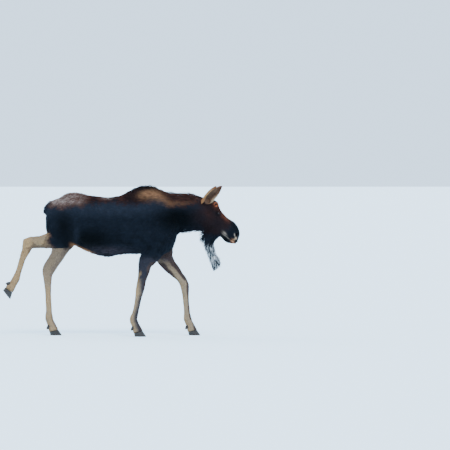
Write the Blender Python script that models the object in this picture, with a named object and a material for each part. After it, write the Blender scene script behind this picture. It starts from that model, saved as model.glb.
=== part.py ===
"""A life-size bull moose in winter coat, walking, its antlers shed: the construction model.

Every shape is written in the animal's own terms: side (its left is plus), forward and up, in metres from a
point on the floor under its middle. It faces -Y, its left is +X and up is +Z. The outline is that of the coat's
tips. The body is first modelled whole: turned and lofted masses are joined by a voxel remesh, smoothed and
thinned, and then parted by thin plane cuts into the pieces that a person would name. Ears, eyes, pedicles,
hooves and dewclaws are modelled apart and fitted against it. Three hooves stand on the floor, and the right
hind one is lifted.
"""

import math

import bmesh
import bpy
import numpy as np
from mathutils import Matrix, Vector

GAP = 0.0004  # clearance between neighbouring pieces
VOXEL = 0.011  # grain of the remesh that joins the masses
SMOOTHING = 9  # passes that melt the masses into each other
BROAD_SMOOTHING = 60  # more passes over the flanks
BODY_TRIANGLES = 3600  # what the joined body is thinned to
RING = 28  # points round a loft
STEP = 0.02  # spacing of a loft's rings
CENTRING = 0.042  # brings the middle of the length over the origin: the tables below start under the withers

HEAD_PITCH = math.radians(48.3)  # how far the face points below the horizon
POLL = (0.0, 0.972, 1.632)  # top of the skull between the ears, and the head frame's origin

EYE_RADIUS = 0.021
EYE = (0.085, 0.216, 0.008)  # in the head frame, on the left side

PEDICLE_RADIUS = 0.026
PEDICLE = (0.084, 0.118, 0.050)  # in the head frame, on the left side

MOUTH_CORNER = (0.410, -0.108)  # along and up in the head frame
MOUTH_FRONT = (0.612, -0.071)

CLAW_LENGTH = 0.142  # toe to heel along the sole
CLAW_WIDTH = 0.054
CLAW_HEIGHT = 0.078  # coronet above the sole at the toe
HEEL_HEIGHT = 0.044
TOE_SLOPE = 0.70  # how far the front wall leans back for its height
HEEL_SLOPE = 0.22
CLAW_SPLIT = 0.008  # slot between a foot's two claws

# Trunk and neck: (forward, top, bottom, half width, height of the widest point, squareness above, and below).
TRUNK = (
    (-0.952, 1.440, 1.290, 0.045, 1.360, 2.0, 2.0),
    (-0.940, 1.520, 1.220, 0.105, 1.360, 2.0, 2.0),
    (-0.905, 1.605, 1.140, 0.165, 1.360, 2.0, 2.0),
    (-0.840, 1.644, 1.110, 0.205, 1.350, 1.9, 2.0),
    (-0.780, 1.668, 1.100, 0.222, 1.350, 1.8, 2.0),
    (-0.720, 1.704, 1.100, 0.234, 1.340, 1.7, 2.0),
    (-0.660, 1.726, 1.098, 0.243, 1.330, 1.7, 2.0),
    (-0.600, 1.728, 1.085, 0.254, 1.310, 1.7, 2.1),
    (-0.540, 1.724, 1.056, 0.266, 1.290, 1.7, 2.2),
    (-0.480, 1.709, 1.026, 0.278, 1.270, 1.7, 2.2),
    (-0.420, 1.692, 1.002, 0.287, 1.260, 1.8, 2.3),
    (-0.300, 1.680, 0.970, 0.298, 1.250, 1.8, 2.3),
    (-0.210, 1.671, 0.955, 0.301, 1.240, 1.8, 2.3),
    (-0.060, 1.692, 0.978, 0.296, 1.240, 1.7, 2.3),
    (0.060, 1.752, 0.990, 0.284, 1.230, 1.6, 2.2),
    (0.180, 1.800, 0.983, 0.268, 1.220, 1.60, 2.1),
    (0.240, 1.811, 0.974, 0.259, 1.210, 1.60, 2.0),
    (0.300, 1.809, 0.964, 0.251, 1.210, 1.60, 2.0),
    (0.384, 1.783, 0.958, 0.241, 1.210, 1.65, 1.9),
    (0.456, 1.742, 0.980, 0.230, 1.220, 1.70, 1.9),
    (0.504, 1.724, 1.003, 0.221, 1.230, 1.7, 1.9),
    (0.540, 1.720, 1.028, 0.211, 1.250, 1.8, 1.9),
    (0.576, 1.716, 1.072, 0.200, 1.290, 1.8, 1.9),
    (0.606, 1.714, 1.155, 0.187, 1.340, 1.8, 1.9),
    (0.640, 1.711, 1.232, 0.174, 1.390, 1.8, 1.9),
    (0.700, 1.707, 1.260, 0.162, 1.420, 1.8, 1.9),
    (0.780, 1.702, 1.264, 0.151, 1.440, 1.8, 1.9),
    (0.852, 1.695, 1.276, 0.143, 1.450, 1.8, 1.9),
    (0.912, 1.674, 1.268, 0.136, 1.450, 1.9, 2.0),
    (0.975, 1.640, 1.260, 0.120, 1.450, 2.0, 2.0),
    (1.020, 1.590, 1.300, 0.085, 1.450, 2.0, 2.0),
)

# The head, along the face from the poll, in the head frame and with the trunk's columns.
SKULL = (
    (-0.060, -0.008, -0.240, 0.082, -0.120, 2.0, 2.0),
    (0.000, 0.024, -0.255, 0.098, -0.095, 2.1, 2.0),
    (0.045, 0.056, -0.262, 0.105, -0.070, 2.2, 1.9),
    (0.085, 0.084, -0.264, 0.105, -0.055, 2.2, 1.8),
    (0.120, 0.090, -0.262, 0.101, -0.045, 2.3, 1.7),
    (0.158, 0.070, -0.255, 0.098, -0.040, 2.3, 1.7),
    (0.205, 0.051, -0.244, 0.093, -0.040, 2.3, 1.6),
    (0.257, 0.044, -0.228, 0.084, -0.045, 2.3, 1.6),
    (0.312, 0.043, -0.208, 0.075, -0.050, 2.2, 1.6),
    (0.354, 0.054, -0.190, 0.073, -0.050, 2.2, 1.8),
    (0.391, 0.069, -0.165, 0.076, -0.045, 2.2, 2.1),
    (0.433, 0.080, -0.138, 0.083, -0.040, 2.2, 2.3),
    (0.470, 0.078, -0.124, 0.089, -0.036, 2.2, 2.4),
    (0.510, 0.069, -0.115, 0.092, -0.036, 2.2, 2.5),
    (0.550, 0.051, -0.108, 0.091, -0.040, 2.2, 2.5),
    (0.583, 0.024, -0.104, 0.083, -0.048, 2.2, 2.4),
    (0.609, -0.019, -0.100, 0.066, -0.060, 2.1, 2.3),
    (0.624, -0.049, -0.094, 0.045, -0.072, 2.0, 2.1),
    (0.631, -0.064, -0.085, 0.022, -0.075, 2.0, 2.0),
)
JAW = (
    (0.080, -0.170, -0.266, 0.052, -0.215, 2.0, 2.0),
    (0.180, -0.150, -0.258, 0.066, -0.200, 2.0, 2.0),
    (0.300, -0.130, -0.224, 0.058, -0.175, 2.0, 2.0),
    (0.400, -0.105, -0.178, 0.050, -0.145, 2.0, 2.1),
    (0.450, -0.095, -0.161, 0.047, -0.130, 2.0, 2.2),
    (0.500, -0.085, -0.165, 0.049, -0.128, 2.0, 2.3),
    (0.545, -0.080, -0.156, 0.049, -0.120, 2.0, 2.4),
    (0.580, -0.078, -0.132, 0.044, -0.106, 2.0, 2.3),
    (0.604, -0.080, -0.110, 0.034, -0.096, 2.0, 2.2),
    (0.615, -0.084, -0.098, 0.018, -0.091, 2.0, 2.0),
)
# Rounded masses of the head, on the left and mirrored: (name, centre, radii) in the head frame.
HEAD_MASSES = (
    ("brow", (0.070, 0.205, 0.022), (0.034, 0.050, 0.028)),
    ("cheekbone", (0.072, 0.258, -0.045), (0.026, 0.085, 0.028)),
    ("cheek", (0.055, 0.180, -0.140), (0.044, 0.100, 0.080)),
    ("ear_root", (0.064, 0.012, -0.006), (0.036, 0.046, 0.040)),
    ("pedicle_root", (0.062, 0.120, 0.045), (0.041, 0.043, 0.037)),
    ("nostril", (0.054, 0.530, -0.002), (0.044, 0.056, 0.045)),
    ("upper_lip", (0.046, 0.568, -0.066), (0.046, 0.052, 0.038)),
)
# Rounded masses of the trunk, on the left and mirrored: (name, centre, radii), side, forward, up.
BODY_MASSES = (
    ("point_of_hip", (0.135, -0.560, 1.550), (0.060, 0.130, 0.090)),
    ("upper_arm", (0.150, 0.420, 1.130), (0.080, 0.130, 0.130)),
    ("flank_fold", (0.145, -0.590, 1.150), (0.058, 0.100, 0.068)),
)

# Limbs run down their own bones: (forward, up, side, reach to the front, reach to the rear, half width).
# The side is given for the left and mirrored for the right.
THIGH_REAR_RIGHT = (
    (-0.720, 1.600, 0.090, 0.050, 0.080, 0.050),
    (-0.725, 1.530, 0.118, 0.130, 0.170, 0.082),
    (-0.730, 1.430, 0.140, 0.190, 0.200, 0.098),
    (-0.740, 1.290, 0.152, 0.200, 0.195, 0.106),
    (-0.760, 1.190, 0.156, 0.185, 0.160, 0.100),
    (-0.800, 1.135, 0.156, 0.120, 0.110, 0.085),
)
GASKIN_REAR_RIGHT = (
    (-0.700, 1.165, 0.152, 0.108, 0.110, 0.085),
    (-0.800, 1.152, 0.156, 0.100, 0.110, 0.084),
    (-0.900, 1.138, 0.157, 0.086, 0.112, 0.077),
    (-0.960, 1.130, 0.157, 0.078, 0.098, 0.070),
    (-1.020, 1.127, 0.156, 0.074, 0.081, 0.060),
    (-1.080, 1.124, 0.154, 0.072, 0.078, 0.052),
    (-1.130, 1.124, 0.152, 0.072, 0.078, 0.047),
    (-1.165, 1.130, 0.150, 0.060, 0.070, 0.043),
    (-1.192, 1.146, 0.150, 0.035, 0.052, 0.036),
    (-1.208, 1.165, 0.150, 0.012, 0.028, 0.018),
)
SHANK_REAR_RIGHT = (
    (-1.148, 1.165, 0.150, 0.050, 0.054, 0.038),
    (-1.158, 1.110, 0.150, 0.068, 0.066, 0.045),
    (-1.172, 1.050, 0.150, 0.061, 0.059, 0.043),
    (-1.198, 0.984, 0.150, 0.046, 0.050, 0.037),
    (-1.226, 0.912, 0.150, 0.037, 0.041, 0.034),
    (-1.252, 0.828, 0.150, 0.036, 0.038, 0.033),
    (-1.276, 0.750, 0.150, 0.037, 0.041, 0.034),
    (-1.293, 0.700, 0.150, 0.044, 0.050, 0.042),
    (-1.320, 0.650, 0.150, 0.043, 0.049, 0.044),
    (-1.350, 0.604, 0.150, 0.050, 0.054, 0.050),
    (-1.384, 0.554, 0.150, 0.056, 0.060, 0.056),
)
THIGH_REAR_LEFT = (
    (-0.720, 1.600, 0.090, 0.050, 0.080, 0.050),
    (-0.722, 1.530, 0.118, 0.130, 0.170, 0.082),
    (-0.725, 1.430, 0.140, 0.190, 0.200, 0.098),
    (-0.725, 1.290, 0.154, 0.190, 0.190, 0.106),
    (-0.735, 1.170, 0.160, 0.165, 0.165, 0.100),
    (-0.760, 1.080, 0.162, 0.125, 0.130, 0.090),
)
GASKIN_REAR_LEFT = (
    (-0.760, 1.100, 0.162, 0.125, 0.125, 0.090),
    (-0.785, 1.045, 0.164, 0.107, 0.107, 0.084),
    (-0.821, 0.960, 0.164, 0.089, 0.088, 0.073),
    (-0.857, 0.900, 0.163, 0.081, 0.083, 0.064),
    (-0.884, 0.850, 0.162, 0.075, 0.090, 0.057),
    (-0.907, 0.800, 0.161, 0.069, 0.095, 0.052),
    (-0.932, 0.745, 0.160, 0.058, 0.078, 0.048),
    (-0.945, 0.700, 0.160, 0.045, 0.050, 0.042),
)
SHANK_REAR_LEFT = (
    (-0.938, 0.780, 0.160, 0.050, 0.062, 0.042),
    (-0.938, 0.720, 0.160, 0.060, 0.060, 0.046),
    (-0.938, 0.660, 0.160, 0.052, 0.050, 0.043),
    (-0.934, 0.580, 0.160, 0.043, 0.043, 0.038),
    (-0.929, 0.480, 0.160, 0.037, 0.039, 0.034),
    (-0.924, 0.360, 0.160, 0.036, 0.039, 0.033),
    (-0.920, 0.270, 0.160, 0.039, 0.043, 0.035),
    (-0.918, 0.212, 0.160, 0.045, 0.053, 0.042),
    (-0.900, 0.155, 0.160, 0.043, 0.051, 0.045),
    (-0.878, 0.100, 0.160, 0.050, 0.056, 0.051),
    (-0.858, 0.045, 0.160, 0.058, 0.062, 0.057),
)
ARM_FRONT_RIGHT = (
    (0.500, 1.240, 0.145, 0.110, 0.120, 0.065),
    (0.430, 1.130, 0.152, 0.125, 0.130, 0.078),
    (0.345, 1.020, 0.160, 0.120, 0.130, 0.083),
    (0.285, 0.936, 0.162, 0.106, 0.110, 0.078),
    (0.255, 0.888, 0.163, 0.092, 0.091, 0.072),
    (0.243, 0.852, 0.163, 0.082, 0.082, 0.067),
    (0.232, 0.792, 0.163, 0.074, 0.074, 0.060),
    (0.222, 0.745, 0.162, 0.065, 0.065, 0.055),
    (0.207, 0.680, 0.161, 0.056, 0.055, 0.051),
    (0.195, 0.630, 0.160, 0.056, 0.053, 0.051),
    (0.186, 0.580, 0.160, 0.055, 0.053, 0.051),
    (0.176, 0.520, 0.160, 0.047, 0.049, 0.046),
    (0.163, 0.450, 0.160, 0.039, 0.042, 0.038),
    (0.144, 0.350, 0.160, 0.036, 0.039, 0.034),
    (0.124, 0.260, 0.160, 0.038, 0.043, 0.036),
    (0.108, 0.208, 0.160, 0.045, 0.053, 0.043),
    (0.126, 0.152, 0.160, 0.043, 0.051, 0.046),
    (0.148, 0.100, 0.160, 0.050, 0.056, 0.052),
    (0.167, 0.045, 0.160, 0.058, 0.062, 0.058),
)
ARM_FRONT_LEFT = (
    (0.490, 1.220, 0.145, 0.110, 0.120, 0.065),
    (0.450, 1.100, 0.152, 0.125, 0.130, 0.080),
    (0.458, 0.980, 0.160, 0.115, 0.118, 0.084),
    (0.525, 0.848, 0.163, 0.088, 0.088, 0.068),
    (0.575, 0.795, 0.163, 0.079, 0.079, 0.060),
    (0.619, 0.744, 0.162, 0.070, 0.069, 0.055),
    (0.657, 0.703, 0.161, 0.057, 0.057, 0.051),
    (0.690, 0.655, 0.160, 0.057, 0.055, 0.051),
    (0.712, 0.600, 0.160, 0.057, 0.055, 0.051),
    (0.722, 0.540, 0.160, 0.048, 0.049, 0.046),
    (0.728, 0.460, 0.160, 0.039, 0.042, 0.038),
    (0.737, 0.350, 0.160, 0.036, 0.039, 0.034),
    (0.745, 0.260, 0.160, 0.038, 0.043, 0.036),
    (0.750, 0.210, 0.160, 0.045, 0.053, 0.043),
    (0.770, 0.152, 0.160, 0.043, 0.051, 0.046),
    (0.792, 0.100, 0.160, 0.050, 0.056, 0.052),
    (0.812, 0.045, 0.160, 0.058, 0.062, 0.058),
)
BELL = (
    (1.060, 1.300, 0.000, 0.130, 0.130, 0.046),
    (1.025, 1.200, 0.000, 0.098, 0.096, 0.042),
    (1.012, 1.150, 0.000, 0.078, 0.074, 0.038),
    (1.014, 1.104, 0.000, 0.055, 0.055, 0.035),
    (1.028, 1.032, 0.000, 0.052, 0.052, 0.033),
    (1.043, 0.972, 0.000, 0.050, 0.049, 0.033),
    (1.068, 0.924, 0.000, 0.062, 0.056, 0.036),
    (1.082, 0.888, 0.000, 0.066, 0.052, 0.038),
    (1.076, 0.845, 0.000, 0.044, 0.040, 0.032),
    (1.072, 0.800, 0.000, 0.020, 0.020, 0.018),
)
TAIL = (
    (-0.862, 1.612, 0.000, 0.030, 0.030, 0.028),
    (-0.912, 1.576, 0.000, 0.030, 0.030, 0.034),
    (-0.944, 1.534, 0.000, 0.028, 0.026, 0.035),
    (-0.962, 1.498, 0.000, 0.020, 0.018, 0.028),
    (-0.971, 1.478, 0.000, 0.008, 0.008, 0.012),
)

# Ears: the root, the tip and the way that the opening faces, each as side, forward and up. Then how
# wide the ear is turned open, and how far its middle bulges forward of its line.
EARS = {
    "ear_right": ((-0.078, 0.930, 1.592), (-0.165, 1.163, 1.797), (-0.90, 0.34, -0.24), 1.16, 0.003),
    "ear_left": ((0.078, 0.945, 1.596), (0.222, 1.092, 1.793), (0.88, 0.38, -0.22), 1.00, 0.006),
}
EAR_SPINE = 0.75  # how nearly straight the ear's back runs, where 0 keeps the middle of the cup straight
EAR_SECTIONS = (  # (share of the length, radius of the cup, half angle that it wraps, thickness)
    (0.00, 0.038, 2.60, 0.016),
    (0.12, 0.047, 2.30, 0.014),
    (0.26, 0.053, 1.80, 0.012),
    (0.42, 0.054, 1.45, 0.011),
    (0.58, 0.051, 1.25, 0.010),
    (0.74, 0.044, 1.08, 0.009),
    (0.88, 0.031, 0.90, 0.008),
    (0.97, 0.014, 0.80, 0.007),
    (1.00, 0.006, 0.70, 0.005),
)

# Feet: (side, forward) of the middle of the sole, its height and how far the toe drops.
FEET = {
    "front_left": ((0.160, 0.835), 0.0, 0.0),
    "front_right": ((-0.160, 0.190), 0.0, 0.0),
    "rear_left": ((0.160, -0.835), 0.0, 0.0),
    "rear_right": ((-0.150, -1.411), 0.500, math.radians(52)),
}

COLOURS = {  # base colour and roughness of each finish
    "coat": ((0.022, 0.018, 0.018), 0.85),
    "leg_coat": ((0.280, 0.210, 0.140), 0.85),
    "ear_coat": ((0.190, 0.135, 0.090), 0.85),
    "horn": ((0.035, 0.028, 0.024), 0.45),
    "bone": ((0.240, 0.130, 0.070), 0.70),
    "eye": ((0.015, 0.008, 0.005), 0.08),
}


def place(side, forward, up):
    """A point of the animal in world axes."""
    return Vector((side, -forward, up))


def clear_scene():
    for leftover in list(bpy.data.objects):
        bpy.data.objects.remove(leftover, do_unlink=True)


def finish(name):
    """The material of one finish, made once."""
    found = bpy.data.materials.get(name)
    if found:
        return found
    colour, roughness = COLOURS[name]
    made = bpy.data.materials.new(name)
    made.use_nodes = True
    shader = made.node_tree.nodes["Principled BSDF"]
    shader.inputs["Base Color"].default_value = (*colour, 1.0)
    shader.inputs["Roughness"].default_value = roughness
    shader.inputs["Metallic"].default_value = 0.0
    return made


def add_object(name, mesh, material=None):
    """A new object for a mesh, in the scene."""
    made = bpy.data.objects.new(name, mesh)
    bpy.context.scene.collection.objects.link(made)
    if material:
        mesh.materials.clear()
        mesh.materials.append(finish(material))
    return made


def mesh_of_rings(name, rings):
    """A closed mesh through rings of world points, with flat ends."""
    shape = bmesh.new()
    loops = [[shape.verts.new(point) for point in ring] for ring in rings]
    for lower, upper in zip(loops, loops[1:]):
        for i in range(len(lower)):
            j = (i + 1) % len(lower)
            shape.faces.new((lower[i], lower[j], upper[j], upper[i]))
    shape.faces.new(reversed(loops[0]))
    shape.faces.new(loops[-1])
    bmesh.ops.recalc_face_normals(shape, faces=shape.faces)
    bmesh.ops.triangulate(shape, faces=shape.faces)  # so that later cuts meet the faces as they are
    mesh = bpy.data.meshes.new(name)
    shape.to_mesh(mesh)
    shape.free()
    return mesh


def through(stations, values, at):
    """A monotone cubic through the stations, read at `at`: it never overshoots a station."""
    gaps = np.diff(stations)
    slopes = np.diff(values) / gaps
    tangents = np.zeros(len(stations))
    tangents[0], tangents[-1] = slopes[0], slopes[-1]
    for i in range(1, len(slopes)):
        before, after = slopes[i - 1], slopes[i]
        if before * after > 0:
            heavy, light = 2 * gaps[i] + gaps[i - 1], gaps[i] + 2 * gaps[i - 1]
            tangents[i] = (heavy + light) / (heavy / before + light / after)
    i = np.clip(np.searchsorted(stations, at, side="right") - 1, 0, len(gaps) - 1)
    t = (at - stations[i]) / gaps[i]
    start, end = values[i], values[i + 1]
    bend_in, bend_out = tangents[i] * gaps[i], tangents[i + 1] * gaps[i]
    return (
        (2 * t**3 - 3 * t**2 + 1) * start
        + (t**3 - 2 * t**2 + t) * bend_in
        + (3 * t**2 - 2 * t**3) * end
        + (t**3 - t**2) * bend_out
    )


def filled_in(table, along):
    """The table's rows with more rows between them, evenly spaced in `along`, its distance at each row."""
    rows = np.array(table, float)
    count = max(3, round((along[-1] - along[0]) / STEP) + 1)
    at = np.linspace(along[0], along[-1], count)
    return np.stack([through(along, column, at) for column in rows.T], axis=1)


def swelled(value, squareness):
    """The superellipse's power of a sine or cosine, keeping its sign."""
    return math.copysign(abs(value) ** (2 / squareness), value)


def barrel(name, table):
    """A loft of upright sections along the forward axis, whose upper and lower halves differ."""
    rows = filled_in(table, np.array([row[0] for row in table]))
    rings = []
    for forward, top, bottom, half_width, widest, above, below in rows:
        ring = []
        for i in range(RING):
            turn = 2 * math.pi * i / RING
            upper = math.sin(turn) > 0
            squareness = above if upper else below
            reach = top - widest if upper else widest - bottom
            side = half_width * swelled(math.cos(turn), squareness)
            ring.append(place(side, forward, widest + reach * swelled(math.sin(turn), squareness)))
        rings.append(ring)
    return mesh_of_rings(name, rings)


def limb(name, table, side_sign=1, points=RING):
    """A loft whose sections stand square to the line of its stations, with its own reach to front and rear."""
    centres = np.array([row[:2] for row in table], float)
    along = np.concatenate([[0], np.cumsum(np.linalg.norm(np.diff(centres, axis=0), axis=1))])
    rows = filled_in(table, along)
    run = np.gradient(rows[:, :2], axis=0)
    run /= np.linalg.norm(run, axis=1, keepdims=True)
    rings = []
    for (forward, up, side, front, rear, half_width), (run_forward, run_up) in zip(rows, run):
        ring = []
        for i in range(points):
            turn = 2 * math.pi * i / points
            reach = (front if math.cos(turn) > 0 else rear) * math.cos(turn)
            ring.append(
                place(
                    side_sign * (side + half_width * math.sin(turn)),
                    forward - run_up * reach,
                    up + run_forward * reach,
                )
            )
        rings.append(ring)
    return mesh_of_rings(name, rings)


def ellipsoid(name, centre, radii):
    """A rounded mass at (side, forward, up)."""
    shape = bmesh.new()
    bmesh.ops.create_uvsphere(shape, u_segments=24, v_segments=16, radius=1.0)
    across, along, tall = radii
    bmesh.ops.transform(
        shape,
        matrix=Matrix.Translation(place(*centre)) @ Matrix.Diagonal((across, along, tall, 1)),
        verts=shape.verts,
    )
    mesh = bpy.data.meshes.new(name)
    shape.to_mesh(mesh)
    shape.free()
    return mesh


def head_frame():
    """From a level head at the origin to the lowered head on the neck."""
    return Matrix.Translation(place(*POLL)) @ Matrix.Rotation(HEAD_PITCH, 4, "X")


def mirrored(centre, sign):
    return (sign * centre[0], *centre[1:])


def head_meshes():
    """The masses of the head, in its own frame and then lowered."""
    meshes = [barrel("skull", SKULL), barrel("jaw", JAW)]
    for name, centre, radii in HEAD_MASSES:
        meshes += [ellipsoid(name, mirrored(centre, sign), radii) for sign in (1, -1)]
    for mesh in meshes:
        mesh.transform(head_frame())
    return meshes


def body_meshes():
    """Every mass of flesh, each one closed, overlapping its neighbours."""
    meshes = [barrel("trunk", TRUNK), limb("bell", BELL)]
    for name, centre, radii in BODY_MASSES:
        meshes += [ellipsoid(name, mirrored(centre, sign), radii) for sign in (1, -1)]
    for table in (THIGH_REAR_RIGHT, GASKIN_REAR_RIGHT, SHANK_REAR_RIGHT, ARM_FRONT_RIGHT):
        meshes.append(limb("right", table, side_sign=-1))
    for table in (THIGH_REAR_LEFT, GASKIN_REAR_LEFT, SHANK_REAR_LEFT, ARM_FRONT_LEFT):
        meshes.append(limb("left", table))
    return meshes + head_meshes()


def evaluated(obj):
    """A copy of the object's mesh with its modifiers applied."""
    graph = bpy.context.evaluated_depsgraph_get()
    return bpy.data.meshes.new_from_object(obj.evaluated_get(graph))


def flank_weights(body):
    """A vertex group over the sides of the trunk, fading out before its top and bottom lines and the limbs."""
    group = body.vertex_groups.new(name="flanks")
    for vertex in body.data.vertices:
        side, forward, up = abs(vertex.co.x), -vertex.co.y, vertex.co.z
        fades = (
            (side - 0.05) / 0.07,
            (forward + 0.93) / 0.10,
            (0.80 - forward) / 0.10,
            (up - 1.14) / 0.10,
        )
        weight = min(1.0, *fades)
        if weight > 0:
            group.add([vertex.index], weight, "REPLACE")
    return group.name


def smoothed(body, passes, group=""):
    """Adds a smoothing step to the body, over one of its vertex groups."""
    step = body.modifiers.new("smooth", "SMOOTH")
    step.factor = 0.5
    step.iterations = passes
    step.vertex_group = group


def joined_body():
    """One smooth closed mesh of all the masses, thinned to BODY_TRIANGLES."""
    shape = bmesh.new()
    for mesh in body_meshes():
        shape.from_mesh(mesh)
    masses = bpy.data.meshes.new("masses")
    shape.to_mesh(masses)
    shape.free()
    rough = add_object("masses", masses)
    remesh = rough.modifiers.new("join", "REMESH")
    remesh.mode = "VOXEL"
    remesh.voxel_size = VOXEL
    body = add_object("whole", evaluated(rough))
    bpy.data.objects.remove(rough)
    smoothed(body, SMOOTHING)
    smoothed(body, BROAD_SMOOTHING, flank_weights(body))
    thin = body.modifiers.new("thin", "DECIMATE")
    thin.ratio = BODY_TRIANGLES / (2 * len(body.data.polygons))
    mesh = evaluated(body)
    bpy.data.objects.remove(body)
    return mesh


def cut_block(corner, outwards, reach, spare):
    """A block whose inner face passes through `corner` square to `outwards`, moved `spare` towards the rest.

    `reach` is the block's depth and its half sizes to the sides and across. All in side, forward and up.
    """
    normal = place(*outwards).normalized()
    across = normal.cross(Vector((1, 0, 0))).normalized()
    side = across.cross(normal)
    depth, half_side, half_across = reach
    inner = place(*corner) - normal * spare
    shape = bmesh.new()
    bmesh.ops.create_cube(shape, size=2.0)
    turn = Matrix((side, across, normal)).transposed().to_4x4()
    grow = Matrix.Diagonal((half_side, half_across, depth / 2, 1))
    middle = Matrix.Translation(inner + normal * depth / 2)
    bmesh.ops.transform(shape, matrix=middle @ turn @ grow, verts=shape.verts)
    bmesh.ops.recalc_face_normals(shape, faces=shape.faces)
    bmesh.ops.triangulate(shape, faces=shape.faces)  # so that later cuts meet the faces as they are
    mesh = bpy.data.meshes.new("cutter")
    shape.to_mesh(mesh)
    shape.free()
    return mesh


def boolean(mesh, other, operation):
    """The mesh cut or kept by another one, leaving both sources as they were."""
    subject, tool = add_object("subject", mesh), add_object("tool", other)
    step = subject.modifiers.new("cut", "BOOLEAN")
    step.operation = operation
    step.solver = "EXACT"
    step.object = tool
    result = evaluated(subject)
    bpy.data.objects.remove(subject)
    bpy.data.objects.remove(tool)
    return result


def part_off(mesh, corner, outwards, reach):
    """(the piece beyond a thin plane cut, the rest)."""
    piece = boolean(mesh, cut_block(corner, outwards, reach, 0.0), "INTERSECT")
    rest = boolean(mesh, cut_block(corner, outwards, reach, GAP), "DIFFERENCE")
    return piece, rest


def grown(mesh, by):
    """A copy with each vertex moved outwards."""
    copy = mesh.copy()
    moves = [(vertex.index, vertex.normal * by) for vertex in copy.vertices]
    for index, move in moves:
        copy.vertices[index].co += move
    return copy


def side_block(x_sign, corner, outwards, depth, across):
    """A leg's cut, which stays on its own side of the body: corner at mid leg, and a wide enough reach."""
    return (0.155 * x_sign, *corner), outwards, (depth, 0.15, across)


def part_body(whole):
    """The whole body as {node name: mesh}."""
    pieces = {}
    pieces["bell"], rest = part_off(whole, (0, 1.015, 1.162), (0, 0, -1), (0.60, 0.08, 0.150))
    leg_cuts = {
        "foreleg_right": (-1, (0.270, 0.940), (0, 0, -1), 1.2, 0.30),
        "foreleg_left": (1, (0.470, 0.940), (0, 0.20, -1), 1.2, 0.40),
        "hind_leg_right": (-1, (-0.966, 1.130), (0, -1, -0.06), 0.9, 0.70),
        "hind_leg_left": (1, (-0.800, 1.030), (0, -0.42, -0.90), 1.6, 0.60),
    }
    for name, (sign, corner, outwards, depth, across) in leg_cuts.items():
        block = side_block(sign, corner, outwards, depth, across)
        pieces[name + "_upper"], rest = part_off(rest, *block)
    shank_cuts = {
        "foreleg_right": (-1, (0.190, 0.600), (0, -0.10, -1), 0.8, 0.20),
        "foreleg_left": (1, (0.712, 0.606), (0, 0.15, -1), 0.8, 0.20),
        "hind_leg_right": (-1, (-1.170, 1.035), (0, -0.30, -0.95), 0.8, 0.20),
        "hind_leg_left": (1, (-0.938, 0.690), (0, 0.02, -1), 0.9, 0.20),
    }
    for name, (sign, corner, outwards, depth, across) in shank_cuts.items():
        block = side_block(sign, corner, outwards, depth, across)
        upper = pieces[name + "_upper"]
        pieces[name + "_lower"], pieces[name + "_upper"] = part_off(upper, *block)
    head, rest = part_off(rest, (0, 0.940, 1.430), (0, 1, 0.0), (0.80, 0.40, 0.60))
    pieces["neck"], pieces["trunk"] = part_off(rest, (0, 0.585, 1.480), (0, 1, 0.20), (0.80, 0.50, 0.60))
    rise = (MOUTH_FRONT[1] - MOUTH_CORNER[1]) / (MOUTH_FRONT[0] - MOUTH_CORNER[0])
    lip = head_frame() @ place(0, *MOUTH_CORNER)
    below = head_frame().to_3x3() @ place(0, rise, -1.0)
    block = (0, -lip.y, lip.z), (0, -below.y, below.z), (0.40, 0.30, 0.80)
    pieces["lower_jaw"], pieces["head"] = part_off(head, *block)
    return pieces


def ear_mesh(name, root, tip, opening, width, sway):
    """A cupped leaf: rolled to a tube at the root, widest below the middle, and open to one side."""
    start, end = place(*root), place(*tip)
    length = (end - start).length
    along = (end - start).normalized()
    facing = place(*opening)
    facing = (facing - along * facing.dot(along)).normalized()
    across = along.cross(facing)
    if across.y > 0:
        across.negate()  # towards the front edge
    table = np.array(EAR_SECTIONS)
    shares = np.linspace(0, 1, 11)
    rings = []
    for share in shares:
        radius, wrap, thick = (float(through(table[:, 0], table[:, k], share)) for k in (1, 2, 3))
        radius *= width
        bow = 0.012 * math.sin(math.pi * share)  # the back of the ear curves out a little
        bow -= EAR_SPINE * (radius - width * (table[0, 1] + (table[-1, 1] - table[0, 1]) * share))
        ahead = sway * math.sin(math.pi * share**0.6)
        centre = start + along * (length * share) - facing * bow + across * ahead
        outer, inner = [], []
        for turn in np.linspace(-wrap, wrap, 8):
            spoke = across * math.sin(turn) - facing * math.cos(turn)
            outer.append(centre + spoke * radius)
            inner.append(centre + spoke * max(radius - thick, 0.2 * radius))
        rings.append(outer + inner[::-1])
    return mesh_of_rings(name, rings)


def ball(name, centre, radius):
    shape = bmesh.new()
    bmesh.ops.create_uvsphere(shape, u_segments=14, v_segments=9, radius=radius)
    bmesh.ops.translate(shape, vec=centre, verts=shape.verts)
    mesh = bpy.data.meshes.new(name)
    shape.to_mesh(mesh)
    shape.free()
    return mesh


def pedicle_mesh(name, sign):
    """The low stub that the shed antler stood on, facing out to the side."""
    profile = ((-0.030, 0.86), (0.000, 0.92), (0.009, 1.00), (0.015, 0.96), (0.018, 0.72), (0.017, 0.30))
    rings = []
    for out, swell in profile:
        ring = []
        for i in range(14):
            turn = 2 * math.pi * i / 14
            spot = (
                sign * (PEDICLE[0] + out),
                PEDICLE[1] + PEDICLE_RADIUS * swell * math.cos(turn),
                PEDICLE[2] + PEDICLE_RADIUS * swell * math.sin(turn) + 0.25 * out,
            )
            ring.append(place(*spot))
        rings.append(ring)
    mesh = mesh_of_rings(name, rings)
    mesh.transform(head_frame())
    return mesh


def foot_frame(foot):
    """From a foot standing at the origin to its place."""
    (side, forward), up, drop = FEET[foot]
    return Matrix.Translation(place(side, forward, up)) @ Matrix.Rotation(drop, 4, "X")


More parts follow.
